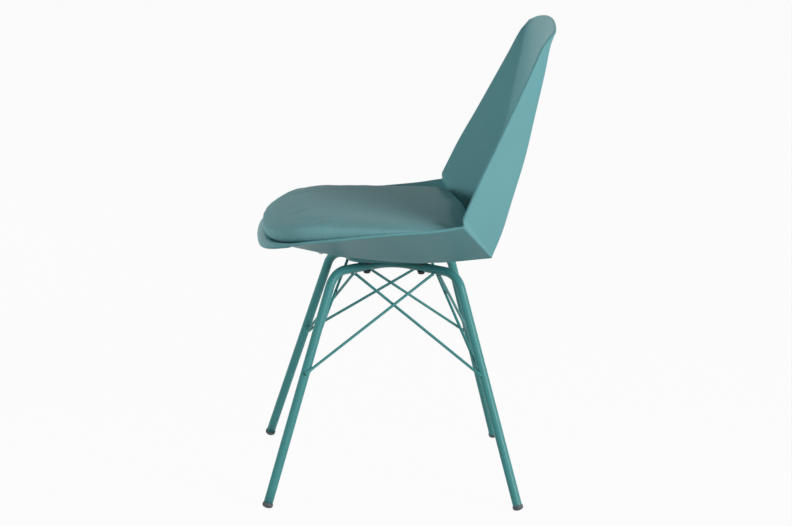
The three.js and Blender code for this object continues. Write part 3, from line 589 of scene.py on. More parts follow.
def ring_outline(half_width, half_depth, corner, count=32):
    """Points and outward directions of a rectangle with rounded corners: each corner's arc in turn."""
    angle = np.linspace(0, math.pi / 2, count // 4)[None, :] + np.arange(4)[:, None] * math.pi / 2
    out = np.stack([np.cos(angle), np.sin(angle)], axis=-1).reshape(-1, 2)
    quadrant = np.repeat(np.array([[1, 1], [-1, 1], [-1, -1], [1, -1]]), count // 4, axis=0)
    return quadrant * [half_width - corner, half_depth - corner] + corner * out, out


def refined(outline, out, pieces=6):
    """More points on each side of a closed outline, straight between its own."""
    share = (np.arange(pieces) / pieces)[None, :, None]
    return tuple(mix(part[:, None], np.roll(part, -1, axis=0)[:, None], share).reshape(-1, 2)
                 for part in (outline, out))


def raised(xy, level):
    """Points at x, y with the given level, which may be one number or one for each point."""
    return np.concatenate([xy, np.broadcast_to(level, xy.shape[:-1])[..., None]], axis=-1)


def standing_ring(outer, inner, bottom):
    """A closed wall between two outlines: up outside, over the top in the seat's wall, down inside."""
    push = (outer - inner) / np.linalg.norm(outer - inner, axis=-1, keepdims=True) * bevel
    top_outer, top_inner = (under_seat(line) + sink for line in (outer, inner))
    return np.stack([
        raised(outer - push, bottom), raised(outer, bottom + bevel), raised(outer, top_outer),
        raised(inner, top_inner), raised(inner, bottom + bevel), raised(inner + push, bottom),
        raised(outer - push, bottom)])


def standing_rib(start, end, thickness, bottom, count=24):
    """A thin wall from start to end.  Its section is narrow at the foot, full above, and its two end
    rows are drawn together on the middle line."""
    start, end = np.array(start, float), np.array(end, float)
    along = (end - start) / np.linalg.norm(end - start)
    side = np.array([-along[1], along[0]]) * thickness / 2
    line = mix(start, end, np.linspace(0, 1, count)[:, None])
    centre = np.concatenate([line, line[::-1]])
    offset = np.concatenate([np.tile(side, (count, 1)), np.tile(-side, (count, 1))])
    top = under_seat(centre) + sink
    narrow = offset * (1 - 2 * bevel / thickness)
    return np.stack([
        raised(centre, bottom), raised(centre + narrow, bottom), raised(centre + offset, bottom + bevel),
        raised(centre + offset, top), raised(centre, top)])


def turned(place, profile, count=40):
    """An upright turned form: profile rows of radius and height, carried round the place."""
    angle = np.arange(count) / count * 2 * math.pi
    ring = np.stack([np.cos(angle), np.sin(angle)], axis=-1)
    radius, level = np.array(profile, float).T
    xy = place[:2] + radius[:, None, None] * ring
    return raised(xy, level[:, None])


# %% Platform
skirt_half_width, skirt_half_depth, skirt_corner, skirt_wall = 74 * mm, 78 * mm, 30 * mm, 3 * mm
skirt_ahead = 6 * mm
rib_wall, rib_half_length, rib_ahead, rib_behind = 2.5 * mm, 72.5 * mm, 82.5 * mm, 70.5 * mm
boss_radius, insert_bore, insert_depth = 11 * mm, 4.5 * mm, 9.6 * mm
spot_radius, screw_bore, spot_depth = 6.5 * mm, 2.3 * mm, 2 * mm
outer, out = refined(*ring_outline(skirt_half_width, skirt_half_depth, skirt_corner))
outer = outer + np.array([0, middle_y - skirt_ahead])
inner = outer - skirt_wall * out / np.linalg.norm(out, axis=-1, keepdims=True)
grids = [standing_ring(outer, inner, platform_bottom)]
bolt_across, bolt_along = abs(bolt_places[(1, 1)][0]), 48 * mm
rib_bottom = platform_bottom + 1 * mm
for s in (-1, 1):
    rib_y, rib_x = middle_y + s * bolt_along, s * bolt_across
    grids.append(standing_rib((-rib_half_length, rib_y), (rib_half_length, rib_y), rib_wall, rib_bottom))
    grids.append(standing_rib((rib_x, middle_y - rib_ahead), (rib_x, middle_y + rib_behind), rib_wall,
                              rib_bottom))
for at in corners:
    place = bolt_places[at]
    top = under_seat(place[None, :2])[0] + sink
    bore_top = platform_bottom + insert_depth
    grids.append(turned(place, [
        (0, bore_top), (insert_bore, bore_top), (insert_bore, platform_bottom + bevel),
        (insert_bore + bevel, platform_bottom), (boss_radius - bevel, platform_bottom),
        (boss_radius, platform_bottom + bevel), (boss_radius, top), (0, top)]))
    place = screw_places[at]
    floor_level = over_seat(place[None, :2])[0]
    low, high = floor_level - wall - spot_depth, board_low_corner.z - board_gap
    grids.append(turned(place, [
        (screw_bore, low), (spot_radius - bevel, low), (spot_radius, low + bevel), (spot_radius, high),
        (screw_bore, high), (screw_bore, low)]))
platform = closed_piece("mounting_platform", *grids)
settle(platform, polypropylene, "shell_plastic", "seat_shell")

# %% [markdown]
# ## The bent tubes
# Each side's leg, rail and leg are one 16 mm steel tube, bent three times on a 40 mm former.  A curve
# with a round bevel would do, yet its bends would not be true arcs.  So the path is worked out as runs
# and arcs, and a ring is carried along it.

# %% Paths with true bends
base = np.array([0, middle_y, 0])
bend_radius = 40 * mm
foot_across, foot_along = 216.5 * mm, 216.6 * mm
shoulder_across, shoulder_along = 90 * mm, 107 * mm
half_tube_gap = 0.15 * mm
sole_thickness = 1.6 * mm


def unit(vectors):
    """Each vector over its length."""
    return vectors / np.linalg.norm(vectors, axis=-1, keepdims=True)


def foot_at(sx, sy):
    """Where a leg's line meets the floor, on the side (sx, sy) of the base's middle."""
    return np.array([sx * foot_across, sy * foot_along, 0]) + base


def shoulder_at(sx, sy):
    """Where a leg's line meets the rail's."""
    return np.array([sx * shoulder_across, sy * shoulder_along, rail_level]) + base


def bent_path(corner_points, radius, steps):
    """Straight runs joined by arcs of one radius.  Each arc's centre lies on the corner's bisector, at
    radius / cos(half the turn), and its points are centre + radius (side cos a + forward sin a)."""
    corner_points = np.array(corner_points)
    runs = unit(np.diff(corner_points, axis=0))
    into, away = runs[:-1, None], runs[1:, None]
    half_turn = np.arccos(np.clip((into * away).sum(-1, keepdims=True), -1, 1)) / 2
    inward = unit(away - into)
    centre = corner_points[1:-1, None] + inward * radius / np.cos(half_turn)
    angle = half_turn * np.linspace(-1, 1, steps + 1)[None, :, None]
    arcs = centre - inward * radius * np.cos(angle) + unit(into + away) * radius * np.sin(angle)
    return np.concatenate([corner_points[:1], arcs.reshape(-1, 3), corner_points[-1:]])


def subdivided(path, longest):
    """The same path with its long runs cut to pieces no longer than `longest`."""
    length = np.linalg.norm(np.diff(path, axis=0), axis=1)
    run = np.concatenate([[0], np.cumsum(length)])
    extra = [np.linspace(a, b, math.ceil((b - a) / longest) + 1)[1:-1] for a, b in zip(run[:-1], run[1:])
             if b - a > longest]
    at = np.sort(np.concatenate([run, *extra]))
    return np.stack([np.interp(at, run, path[:, k]) for k in range(3)], axis=-1)


def carried_ring(path, radius, reference, count):
    """A ring round each point of a path, square to its direction, both ends drawn together.  `radius`
    is one number or one for each point; `reference` is a direction that the path never takes."""
    direction = unit(np.gradient(path, axis=0))
    side = unit(np.cross(direction, reference))
    up = np.cross(side, direction)
    angle = np.arange(count) / count * 2 * math.pi
    spokes = side[:, None] * np.cos(angle)[None, :, None] + up[:, None] * np.sin(angle)[None, :, None]
    rings = path[:, None] + np.broadcast_to(radius, len(path))[:, None, None] * spokes
    ends = [np.repeat(path[k:k + 1, None], count, axis=1) for k in (0, -1)]
    return np.concatenate([ends[0], rings, ends[1]])


# The rail's line leaves the middle bend on the tangent through the shoulder.
apex_centre = np.array([tube_radius + half_tube_gap + bend_radius, 0])
offset = np.array([shoulder_across, shoulder_along]) - apex_centre
tangent = math.atan2(offset[1], offset[0]) + math.acos(bend_radius / np.linalg.norm(offset))
rail_middle = apex_centre[0] + bend_radius / math.cos(tangent)
leg_slope = np.linalg.norm(foot_at(1, 1) - shoulder_at(1, 1)) / rail_level
leg_lean = math.acos(1 / leg_slope)
tube_end = (sole_thickness + tube_radius * math.sin(leg_lean)) / rail_level


def on_leg(sx, sy, share):
    """A point on a leg's line, at a share of the way up from the foot."""
    return mix(foot_at(sx, sy), shoulder_at(sx, sy), share)


tube_paths = {}
for sx in (-1, 1):
    tube_paths[sx] = bent_path(
        [on_leg(sx, -1, tube_end), shoulder_at(sx, -1), base + [sx * rail_middle, 0, rail_level],
         shoulder_at(sx, 1), on_leg(sx, 1, tube_end)], bend_radius, 24)
    print("tube length", round(float(np.linalg.norm(np.diff(tube_paths[sx], axis=0), axis=1).sum()), 3), "m")

# %% [markdown]
# ### Powder-coated steel
# Powder coating is sprayed on dry and baked.  It flows out to a smooth, slightly rippled skin, called
# orange peel, which breaks up the long highlights on a tube.  A thin clear coat in the shader stands for
# its smooth surface.

# %% Powder-coated steel
powder_coat, tree = new_material("steel, powder-coated, semi-gloss")
where = add_node(tree, "TexCoord")
# The ripple is about 1.5 mm on the real coat, drawn at 3 mm so that it shows.
peel = add_node(tree, "TexNoise", {"Vector": where.outputs["Object"], "Scale": 1 / 0.003, "Detail": 1.0})
tone = add_node(tree, "TexNoise", {"Vector": where.outputs["Object"], "Scale": 1 / 0.05, "Detail": 2.0})
tint = add_node(tree, "Mix", {0: tone.outputs[0], 6: linear("#458f8f"), 7: linear("#4b9595")},
                data_type="RGBA")
gloss = add_node(tree, "MapRange", {0: tone.outputs[0], 3: 0.36, 4: 0.46})
bump = add_node(tree, "Bump", {"Height": peel.outputs[0], "Strength": 0.1, "Distance": 0.012 * mm})
shader = add_node(tree, "BsdfPrincipled", {
    "Base Color": tint.outputs[2], "Roughness": gloss.outputs[0], "Normal": bump.outputs[0],
    "Specular IOR Level": 0.2, "Coat Weight": 0.1, "Coat Roughness": 0.15})
add_node(tree, "OutputMaterial", {"Surface": shader.outputs[0]})

# %% Tubes
for sx, side in ((-1, "right"), (1, "left")):
    path = subdivided(tube_paths[sx], 30 * mm)
    tube = closed_piece(f"{side}_bent_tube", carried_ring(path, tube_radius, (0, 0, 1), 40))
    settle(tube, powder_coat, "frame_paint", f"{side}_frame_tube")

# %% [markdown]
# ## The brace rods
# Eight 5 mm rods stiffen the base, crossing in pairs on each of its four sides.  Each runs from under
# one end of a rail to a little above the middle of the next leg, where it is welded.  The weld is a small
# collar: the rod is thicker where its line comes out of the tube and thins over a few millimetres.

# %% Rods
rod_radius = 2.5 * mm
rod_spacing, rod_stagger, half_rod_gap = 14 * mm, 7 * mm, 0.15 * mm
rod_start_along, rod_start_drop = 72.5 * mm, 8 * mm
leg_meeting_share = 0.575
weld_rise, weld_length, weld_root = 1.4 * mm, 2.2 * mm, 2.5 * mm
side_shift, side_lead = 7 * mm, 2 * mm
cross_inset = {-1: 2 * mm, 1: 3 * mm}
rail_share = shoulder_along / math.hypot(shoulder_along, shoulder_across - rail_middle)
leg_length = np.linalg.norm(foot_at(1, 1) - shoulder_at(1, 1))


def rail_across(along):
    """How far the rail's line lies from the middle, at a distance along Y from the middle."""
    return mix(rail_middle, shoulder_across, along / shoulder_along)


def rod_line(sx, sy, tx, ty):
    """Start and end of the rod from corner (sx, sy) to the leg (tx, ty), as in the CAD: the two rods of
    a pair lie on each side of their common plane, so that they cross without touching."""
    beside = sx == tx
    along = rod_start_along + (-0.5 if beside else 0.5) * rod_spacing * rail_share
    shift = np.array([sx * side_shift, -side_lead * (sy < 0), 0] if beside else [0, -sy * cross_inset[sy], 0])
    start = base + [sx * rail_across(along), sy * along, rail_level - rod_start_drop] + shift
    share = leg_meeting_share + (-0.5 if beside else 0.5) * rod_stagger / leg_length
    end, partner = on_leg(tx, ty, share) + shift, on_leg(sx, sy, share) + shift
    normal = unit(np.cross(end - start, partner - start))
    outward = np.sign(normal[0] * sx if beside else normal[1] * sy)
    inner = -1 if sx * sy < 0 else 1
    apart = normal * outward * inner * (rod_radius + half_rod_gap)
    return start + apart, end + apart


def distance_to(path, points):
    """Least distance of each point from a path of short straight pieces."""
    a, b = path[None, :-1], path[None, 1:]
    run = b - a
    share = np.clip(((points[:, None] - a) * run).sum(-1) / (run ** 2).sum(-1), 0, 1)
    return np.linalg.norm(points[:, None] - a - share[..., None] * run, axis=-1).min(1)


def welded_rod(start, end, from_path, to_path):
    """A rod whose rings are close together near its ends.  Its radius grows by the weld's rise in the
    tube's skin, and outside it by rise x exp(-(distance / weld length) ^ 1.5)."""
    share = np.unique(np.concatenate([
        np.linspace(0, 0.14, 50), np.linspace(0.14, 0.86, 12), np.linspace(0.86, 1, 50)]))
    points = mix(start, end, share[:, None])
    beyond = np.stack([distance_to(path, points) for path in (from_path, to_path)]).min(0) - tube_radius
    radius = rod_radius + weld_rise * np.exp(-(np.maximum(beyond, 0) / weld_length) ** 1.5)
    shown = np.flatnonzero(beyond > -weld_root)
    kept = slice(shown[0], shown[-1] + 1)
    return carried_ring(points[kept], radius[kept], (0, 0, 1), 20)


for sx, sy in corners:
    for kind, tx, ty in (("side", sx, -sy), ("cross", -sx, sy)):
        rod = closed_piece(f"{kind}_rod_{corner_names[(sx, sy)]}",
                           welded_rod(*rod_line(sx, sy, tx, ty), tube_paths[sx], tube_paths[tx]))
        settle(rod, powder_coat, "frame_paint", f"{kind}_brace_rod_{corner_names[(sx, sy)]}")

# %% [markdown]
# ## Foot caps
# A moulded plug of dark polyamide guards the floor at each leg's end.  It is a turned sleeve round a
# leaning leg with a domed sole, which stands on a small level patch: the few points of the dome that
# would lie under the floor are lifted to it.

# %% Caps, matt polyamide
polyamide, tree = new_material("polyamide, moulded, matt")
where = add_node(tree, "TexCoord")
# The grain is 0.3 mm on the real cap, drawn at 0.8 mm so that it shows.
grain = add_node(tree, "TexNoise", {"Vector": where.outputs["Object"], "Scale": 1 / 0.0008, "Detail": 2.0})
tint = add_node(tree, "Mix", {0: grain.outputs[0], 6: linear("#4a5256"), 7: linear("#555d61")},
                data_type="RGBA")
bump = add_node(tree, "Bump", {"Height": grain.outputs[0], "Strength": 0.2, "Distance": 0.05 * mm})
shader = add_node(tree, "BsdfPrincipled", {
    "Base Color": tint.outputs[2], "Roughness": 0.62, "Normal": bump.outputs[0], "IOR": 1.53})
add_node(tree, "OutputMaterial", {"Surface": shader.outputs[0]})

cap_radius, cap_bore, cap_height, cap_round = 9.2 * mm, 8.3 * mm, 9.5 * mm, 0.7 * mm
cap_dome, cap_wear = 5 * mm, 0.8 * mm
cap_side_top, cap_socket = cap_height * 0.8, cap_height * 0.7
dome_reach = math.hypot(cap_dome * math.cos(leg_lean), cap_radius * math.sin(leg_lean))
dome_top = (dome_reach - cap_wear) / math.cos(leg_lean)


def foot_cap(sx, sy, count=48):
    """Rings round the leg's line, each given by a radius and a distance along it, with no point below
    the floor: p = foot + r e(angle) + d axis, and z = max(z, 0)."""
    low, axis = foot_at(sx, sy), unit(shoulder_at(sx, sy) - foot_at(sx, sy))
    side = unit(np.cross(axis, (0, 0, 1)))
    angle = np.arange(count) / count * 2 * math.pi
    spokes = np.cos(angle)[:, None] * side + np.sin(angle)[:, None] * np.cross(axis, side)
    dome = np.linspace(0, math.pi / 2, 13)[:, None]
    curl = np.linspace(0, math.pi / 2, 5)[:, None]
    rings = np.concatenate([
        np.hstack([cap_radius * np.sin(dome), dome_top - cap_dome * np.cos(dome)]),
        [[cap_radius, cap_side_top]],
        np.hstack([cap_radius - cap_round * (1 - np.cos(curl)), cap_height - cap_round * (1 - np.sin(curl))]),
        [[cap_bore, cap_height], [cap_bore, cap_socket], [0, cap_socket]]])
    points = low + rings[:, None, :1] * spokes + rings[:, None, 1:] * axis
    points[..., 2] = np.maximum(points[..., 2], 0)
    return points


for sx, sy in corners:
    cap = closed_piece(f"sole_cap_{corner_names[(sx, sy)]}", foot_cap(sx, sy))
    settle(cap, polyamide, "cap_plastic", f"foot_cap_{corner_names[(sx, sy)]}")

# %% [markdown]
# ## Bolts, saddles and spacers
# Four button-head socket bolts come up through the rails into the shell.  A saddle washer under each
# rail spreads the load round the tube, and a spacer above it lifts the shell clear.  The hexagon of the
# socket is a ring whose radius is the flat's distance over the cosine of the angle from that flat.

# %% Blackened zinc and glass-filled nylon
black_zinc, tree = new_material("steel bolt, black zinc plated")
where = add_node(tree, "TexCoord")
wear = add_node(tree, "TexNoise", {"Vector": where.outputs["Object"], "Scale": 1 / 0.002, "Detail": 3.0})
tint = add_node(tree, "Mix", {0: wear.outputs[0], 6: linear("#26282a"), 7: linear("#3a3c3f")},
                data_type="RGBA")
gloss = add_node(tree, "MapRange", {0: wear.outputs[0], 3: 0.32, 4: 0.5})
shader = add_node(tree, "BsdfPrincipled", {
    "Base Color": tint.outputs[2], "Roughness": gloss.outputs[0], "Metallic": 0.6})
add_node(tree, "OutputMaterial", {"Surface": shader.outputs[0]})

nylon, tree = new_material("nylon, glass-filled, moulded black")
where = add_node(tree, "TexCoord")
grain = add_node(tree, "TexNoise", {"Vector": where.outputs["Object"], "Scale": 1 / 0.001, "Detail": 2.0})
tint = add_node(tree, "Mix", {0: grain.outputs[0], 6: linear("#2b3031"), 7: linear("#343a3b")},
                data_type="RGBA")
bump = add_node(tree, "Bump", {"Height": grain.outputs[0], "Strength": 0.2, "Distance": 0.05 * mm})
shader = add_node(tree, "BsdfPrincipled", {
    "Base Color": tint.outputs[2], "Roughness": 0.6, "Normal": bump.outputs[0], "IOR": 1.53})
add_node(tree, "OutputMaterial", {"Surface": shader.outputs[0]})

# %% Bolts and what they clamp
head_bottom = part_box("frame_bolt_front_left")[0].z
bolt_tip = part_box("frame_bolt_front_left")[1].z
head_seat = head_bottom + 3 * mm
washer_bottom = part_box("saddle_washer_front_left")[0].z
spacer_top = platform_bottom - 0.3 * mm
tube_clear = tube_radius + 0.3 * mm
bolt_bore = 3.3 * mm
saddle_edge, saddle_radius, saddle_depth = 0.4 * mm, 7 * mm, 3 * mm
spacer_radius, spacer_lip = 10 * mm, 3 * mm


def button_bolt(place, count=48):
    """Turned rows of radius, level and whether the ring is a hexagon, from the socket's floor outwards
    over the head and up the shank."""
    rows = np.array([
        (0, head_bottom + 2 * mm, 1), (2.3 * mm, head_bottom + 2 * mm, 1),
        (2.3 * mm, head_bottom + 0.25 * mm, 1), (2.5 * mm, head_bottom + 0.05 * mm, 1),
        (3.2 * mm, head_bottom, 0), (3.9 * mm, head_bottom + 0.1 * mm, 0),
        (4.8 * mm, head_bottom + 0.45 * mm, 0), (5.5 * mm, head_bottom + 1.05 * mm, 0),
        (5.9 * mm, head_bottom + 1.8 * mm, 0), (6 * mm, head_bottom + 2.4 * mm, 0),
        (6 * mm, head_seat - 0.15 * mm, 0), (5.85 * mm, head_seat, 0), (3 * mm, head_seat, 0),
        (3 * mm, bolt_tip - 0.7 * mm, 0), (2.3 * mm, bolt_tip, 0), (0, bolt_tip, 0)])
    angle = np.arange(count) / count * 2 * math.pi
    flats = 1 / np.cos(np.mod(angle, math.pi / 3) - math.pi / 6)
    radius = rows[:, :1] * np.where(rows[:, 2:] > 0, flats, 1)
    xy = place[:2] + radius[..., None] * np.stack([np.cos(angle), np.sin(angle)], axis=-1)
    return raised(xy, rows[:, 1:2])


def saddle(place, sx, sy, radius, flat_level, lip_level, up, count=64):
    """A ring round a bolt, flat on one face and following the tube on the other: that face's level is
    the rail's, less or plus the root of (tube radius squared - distance from its line squared)."""
    line = unit(np.array([sx * (shoulder_across - rail_middle), sy * shoulder_along]))
    angle = np.arange(count) / count * 2 * math.pi
    spokes = np.stack([np.cos(angle), np.sin(angle)], axis=-1)
    radii = np.array([bolt_bore, radius - saddle_edge, radius, radius, radius * 0.85, radius * 0.68,
                      bolt_bore, bolt_bore])
    across = radii[:, None] * (spokes @ np.array([-line[1], line[0]]))
    skin = rail_level + up * np.sqrt(np.maximum(tube_clear ** 2 - across ** 2, 0))
    shaped = np.maximum(skin, lip_level) if up > 0 else np.minimum(skin, lip_level)
    levels = shaped.copy()
    levels[[0, 1, 7]] = flat_level
    levels[2] = flat_level - up * saddle_edge
    return raised(place[:2] + radii[:, None, None] * spokes, levels)


for at in corners:
    place, name = bolt_places[at], corner_names[at]
    bolt = closed_piece(f"button_bolt_{name}", button_bolt(place))
    settle(bolt, black_zinc, "fastener_black", f"frame_bolt_{name}")
    washer = closed_piece(f"tube_saddle_{name}",
                          saddle(place, *at, saddle_radius, washer_bottom, washer_bottom + saddle_depth, -1))
    settle(washer, black_zinc, "fastener_black", f"saddle_washer_{name}")
    spacer = closed_piece(f"shell_spacer_{name}",
                          saddle(place, *at, spacer_radius, spacer_top,
                                 rail_level + tube_clear - spacer_lip, 1))
    settle(spacer, nylon, "spacer_plastic", f"rail_spacer_{name}")

# %% [markdown]
# ## The seat pad
# The pad is foam on a plywood board, covered in a leather-look fabric and screwed on from below.  Its
# widest line runs low round the front lip and climbs along the wings to the back.  From that line the
# cover rolls over to a crowned top and tucks in underneath.  The form is made from rings drawn in from
# the line, a little boxier at the sides than the CAD's.  Then Blender's cloth inflates the top a little,
# as foam does to a tight cover, while the underside is held.

# %% The pad's widest line and rings
pad_line_shares = np.array([
    [0, 0.01, 0.373], [0.25, 0.014, 0.367], [0.46, 0.026, 0.354], [0.632, 0.056, 0.34],
    [0.75, 0.107, 0.355], [0.82, 0.178, 0.42], [0.857, 0.262, 0.529], [0.886, 0.362, 0.653],
    [0.904, 0.483, 0.762], [0.902, 0.6, 0.83], [0.89, 0.652, 0.85], [0.852, 0.683, 0.85],
    [0.775, 0.701, 0.845], [0.624, 0.713, 0.84], [0.312, 0.728, 0.82], [0, 0.735, 0.81]])
pad_thickness = 54 * mm
board_top = board_high_corner.z
pad_crown = board_top + board_gap + pad_thickness
pad_gap = 1.2 * mm
side_drop, nose_drop, nose_start = 5.5 * mm, 26 * mm, 100 * mm
roll_power, boxier_by = 2.5, 0.7
boxy_from, boxy_over = 10 * mm, 60 * mm

right_side = on_chair(pad_line_shares * [1, 1, 0])
right_side[:, 2] = np.maximum(board_top + pad_line_shares[:, 2] * pad_thickness,
                              over_seat(right_side[:, :2]) + pad_gap)
stations = np.concatenate([right_side, right_side[-2:0:-1] * [-1, 1, 1]])


def evenly_round(stations, count):
    """Points the same distance apart on the smooth closed line through the stations."""
    looped = np.concatenate([stations[-2:], stations, stations[:3]])
    fine = through(looped, np.linspace(2, len(stations) + 2, 4001))
    run = np.concatenate([[0], np.cumsum(np.linalg.norm(np.diff(fine, axis=0), axis=1))])
    at = np.arange(count) / count * run[-1]
    return np.stack([np.interp(at, run, fine[:, k]) for k in range(3)], axis=-1)


def pad_rings(edge, top_count=40, under_count=14):
    """Rings drawn in from the widest line towards the board's middle.  Over the top they rise on a
    superellipse, within the first 13% of the way in front and 5% along the sides, where the cover's
    edge is boxier; below they drop with a square root within 3.5%."""
    middle = np.array([0, (board_low_corner.y + board_high_corner.y) / 2])

    def drawn_in(count):
        inward = (np.arange(count + 2) / (count + 1))[:, None] ** 1.9
        return inward, mix(edge[None, :, :2], middle, inward[..., None])

    inward, xy = drawn_in(top_count)
    ahead = np.maximum(0, (middle_y - nose_start - xy[..., 1]) / (middle_y - nose_start - edge[0, 1]))
    top = pad_crown - side_drop * (xy[..., 0] / shell_half_width) ** 2 - nose_drop * ahead ** 3.2
    boxier = np.clip((edge[:, 1] - edge[0, 1] - boxy_from) / boxy_over, 0, 1)
    boxier = boxier ** 2 * (3 - 2 * boxier)
    roll = np.minimum(1, inward / (0.13 - 0.08 * boxier))
    power = roll_power + boxier_by * boxier
    swell = (1 - (1 - roll) ** power) ** (1 / power)
    over = raised(xy, mix(edge[:, 2], np.maximum(edge[:, 2], top), swell))
    inward, xy = drawn_in(under_count)
    floor_level = np.maximum(board_top + board_gap, over_seat(xy) + pad_gap)
    tuck = np.minimum(1, inward / 0.035)
    under = raised(xy, mix(edge[:, 2], np.minimum(edge[:, 2], floor_level), np.sqrt(tuck)))
    return np.concatenate([under[:0:-1], over])


pad_edge = evenly_round(stations, 240)
pad_form = closed_piece("pad_form", pad_rings(pad_edge))
print("pad's widest line:", np.round(np.ptp(pad_edge, axis=0), 3))


# %% Remesh and inflate
def coordinates(mesh):
    """The mesh's points as rows of x, y, z."""
    co = np.empty(len(mesh.vertices) * 3, np.float32)
    mesh.vertices.foreach_get("co", co)
    return co.reshape(-1, 3).astype(float)


def evaluated_copy(piece, name):
    """A new object with what the piece's modifiers make of its mesh."""
    mesh = bpy.data.meshes.new_from_object(piece.evaluated_get(bpy.context.evaluated_depsgraph_get()))
    copy = bpy.data.objects.new(name, mesh)
    bpy.context.scene.collection.objects.link(copy)
    return copy


def remeshed(form, name, voxel, smoothing):
    """An even quad mesh of the form, its steps smoothed."""
    remesh = form.modifiers.new("even_mesh", "REMESH")
    remesh.mode, remesh.voxel_size, remesh.use_smooth_shade = "VOXEL", voxel, True
    smooth_out = form.modifiers.new("smooth_steps", "SMOOTH")
    smooth_out.factor, smooth_out.iterations = 0.5, smoothing
    piece = evaluated_copy(form, name)
    bpy.data.objects.remove(form)
    return piece


def inflated(piece, pressure, frames, most):
    """Cloth under pressure with its lower side held.  A point is free as its normal turns upwards, and
    no point moves further than `most`.  Foam backs the cover, so it is stiff against small folds."""
    rest = coordinates(piece.data)
    normals = np.empty(rest.size, np.float32)
    piece.data.vertex_normals.foreach_get("vector", normals)
    free = np.clip((normals.reshape(-1, 3)[:, 2] - 0.1) / 0.5, 0, 1)
    free = free * free * (3 - 2 * free)
    held = piece.vertex_groups.new(name="held")
    for level in range(11):
        held.add(np.flatnonzero(np.round((1 - free) * 10) == level).tolist(), level / 10, "REPLACE")
    cloth = piece.modifiers.new("pressure", "CLOTH")
    cloth.settings.use_pressure = True
    cloth.settings.uniform_pressure_force = pressure
    cloth.settings.bending_stiffness = 10
    cloth.settings.effector_weights.gravity = 0
    cloth.settings.vertex_group_mass = "held"
    for step in range(1, frames + 1):
        bpy.context.scene.frame_set(step)
    moved = evaluated_copy(piece, "moved")
    shift = coordinates(moved.data) - rest
    bpy.data.objects.remove(moved)
    piece.modifiers.remove(cloth)
    piece.vertex_groups.remove(held)
    bpy.context.scene.frame_set(1)
    length = np.linalg.norm(shift, axis=1, keepdims=True)
    shift *= np.minimum(1, most / np.maximum(length, 1e-9)) * free[:, None]
    piece.data.vertices.foreach_set("co", (rest + shift).astype(np.float32).ravel())
    piece.data.update()
    print("moved at most", round(float(np.linalg.norm(shift, axis=1).max() / mm), 2), "mm")


pad = remeshed(pad_form, "seat_cushion", voxel=4.5 * mm, smoothing=6)
inflated(pad, pressure=2, frames=20, most=2.5 * mm)
evened = pad.modifiers.new("evened", "SMOOTH")
evened.factor, evened.iterations = 0.5, 8
finer = pad.modifiers.new("finer", "SUBSURF")
finer.levels = finer.render_levels = 1

# %% [markdown]
# ### Leather-look upholstery
# The cover is a polyurethane-coated fabric, embossed with a pebble grain.  Each pebble is a low dome
# with a narrow groove round it, and the coat is slightly glossier on the domes.  Stretched over foam it
# also takes on broad, very shallow swells.  A faint sheen lightens it where it is seen at a flat angle.

# %% Leather-look cover
leather, tree = new_material("polyurethane leather, embossed pebble grain")
where = add_node(tree, "TexCoord")
# The pebbles are about 1 mm across on such a cover, drawn at 2.2 mm so that they show.
bent = add_node(tree, "TexNoise", {"Vector": where.outputs["Object"], "Scale": 1 / 0.004, "Detail": 1.0})
moved_by = add_node(tree, "VectorMath", {0: bent.outputs[1], "Scale": 0.0016}, operation="SCALE")
waved = add_node(tree, "VectorMath", {0: where.outputs["Object"], 1: moved_by.outputs[0]}, operation="ADD")
pebbles = add_node(tree, "TexVoronoi", {"Vector": waved.outputs[0], "Scale": 1 / 0.0022},
                   feature="SMOOTH_F1")
swells = add_node(tree, "TexNoise", {"Vector": where.outputs["Object"], "Scale": 1 / 0.035, "Detail": 2.0})
# The colour is painted shade in the grain: darker in the pebbles' grooves and lighter on their domes.
tint = add_node(tree, "Mix", {0: pebbles.outputs[0], 6: linear("#7fb3b7"), 7: linear("#6e9fa4")},
                data_type="RGBA")
gloss = add_node(tree, "MapRange", {0: pebbles.outputs[0], 3: 0.44, 4: 0.62})
broad = add_node(tree, "Bump", {"Height": swells.outputs[0], "Strength": 0.3, "Distance": 0.8 * mm})
bump = add_node(tree, "Bump", {"Height": pebbles.outputs[0], "Strength": 0.25, "Distance": 0.15 * mm,
                               "Normal": broad.outputs[0]}, invert=True)
shader = add_node(tree, "BsdfPrincipled", {
    "Base Color": tint.outputs[2], "Roughness": gloss.outputs[0], "Normal": bump.outputs[0], "IOR": 1.5,
    "Specular IOR Level": 0.02, "Sheen Weight": 0.06, "Sheen Roughness": 0.4})
add_node(tree, "OutputMaterial", {"Surface": shader.outputs[0]})
settle(pad, leather, "pad_leather", "seat_pad")

# %% [markdown]
# ## What stays as the CAD made it
# The plywood board, its screws and the brass inserts have their real shapes already and are hardly
# seen.  They keep their solids and only get finishes.

# %% Plywood, zinc and brass
plywood, tree = new_material("birch plywood, sanded, unfinished")
where = add_node(tree, "TexCoord")
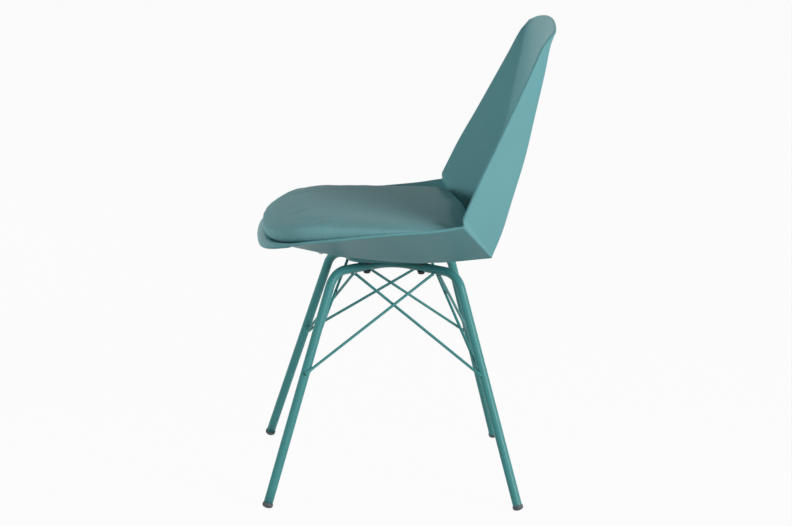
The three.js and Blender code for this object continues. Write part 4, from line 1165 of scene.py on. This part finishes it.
# A veneer is 1.25 mm thick, so the pattern is as short in height, and long across, where the grain runs.
stretched = add_node(tree, "Mapping", {"Vector": where.outputs["Object"], "Scale": (12, 160, 800)})
fibre = add_node(tree, "TexNoise", {"Vector": stretched.outputs[0], "Scale": 1.0, "Detail": 4.0})
tint = add_node(tree, "Mix", {0: fibre.outputs[0], 6: linear("#9c7c52"), 7: linear("#c9ab7f")},
                data_type="RGBA")
bump = add_node(tree, "Bump", {"Height": fibre.outputs[0], "Strength": 0.2, "Distance": 0.1 * mm})
shader = add_node(tree, "BsdfPrincipled", {
    "Base Color": tint.outputs[2], "Roughness": 0.7, "Normal": bump.outputs[0]})
add_node(tree, "OutputMaterial", {"Surface": shader.outputs[0]})

bright_zinc, tree = new_material("steel screw, bright zinc plated")
where = add_node(tree, "TexCoord")
haze = add_node(tree, "TexNoise", {"Vector": where.outputs["Object"], "Scale": 1 / 0.0015, "Detail": 3.0})
gloss = add_node(tree, "MapRange", {0: haze.outputs[0], 3: 0.22, 4: 0.42})
shader = add_node(tree, "BsdfPrincipled", {
    "Base Color": linear("#a9abae"), "Roughness": gloss.outputs[0], "Metallic": 1.0})
add_node(tree, "OutputMaterial", {"Surface": shader.outputs[0]})

brass, tree = new_material("brass insert, turned")
where = add_node(tree, "TexCoord")
lines = add_node(tree, "TexWave", {"Vector": where.outputs["Object"], "Scale": 1 / 0.004, "Distortion": 0.4},
                 bands_direction="Z")
gloss = add_node(tree, "MapRange", {0: lines.outputs[0], 3: 0.24, 4: 0.38})
shader = add_node(tree, "BsdfPrincipled", {
    "Base Color": linear("#b9964f"), "Roughness": gloss.outputs[0], "Metallic": 1.0})
add_node(tree, "OutputMaterial", {"Surface": shader.outputs[0]})

kept_finishes = {"pad_board": plywood}
for name in corner_names.values():
    kept_finishes[f"threaded_insert_{name}"] = brass
    kept_finishes[f"pad_screw_{name}"] = bright_zinc
for name, finish in kept_finishes.items():
    for finish_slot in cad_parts[name].material_slots:
        finish_slot.material = finish
print("kept CAD nodes:", len(kept_finishes))
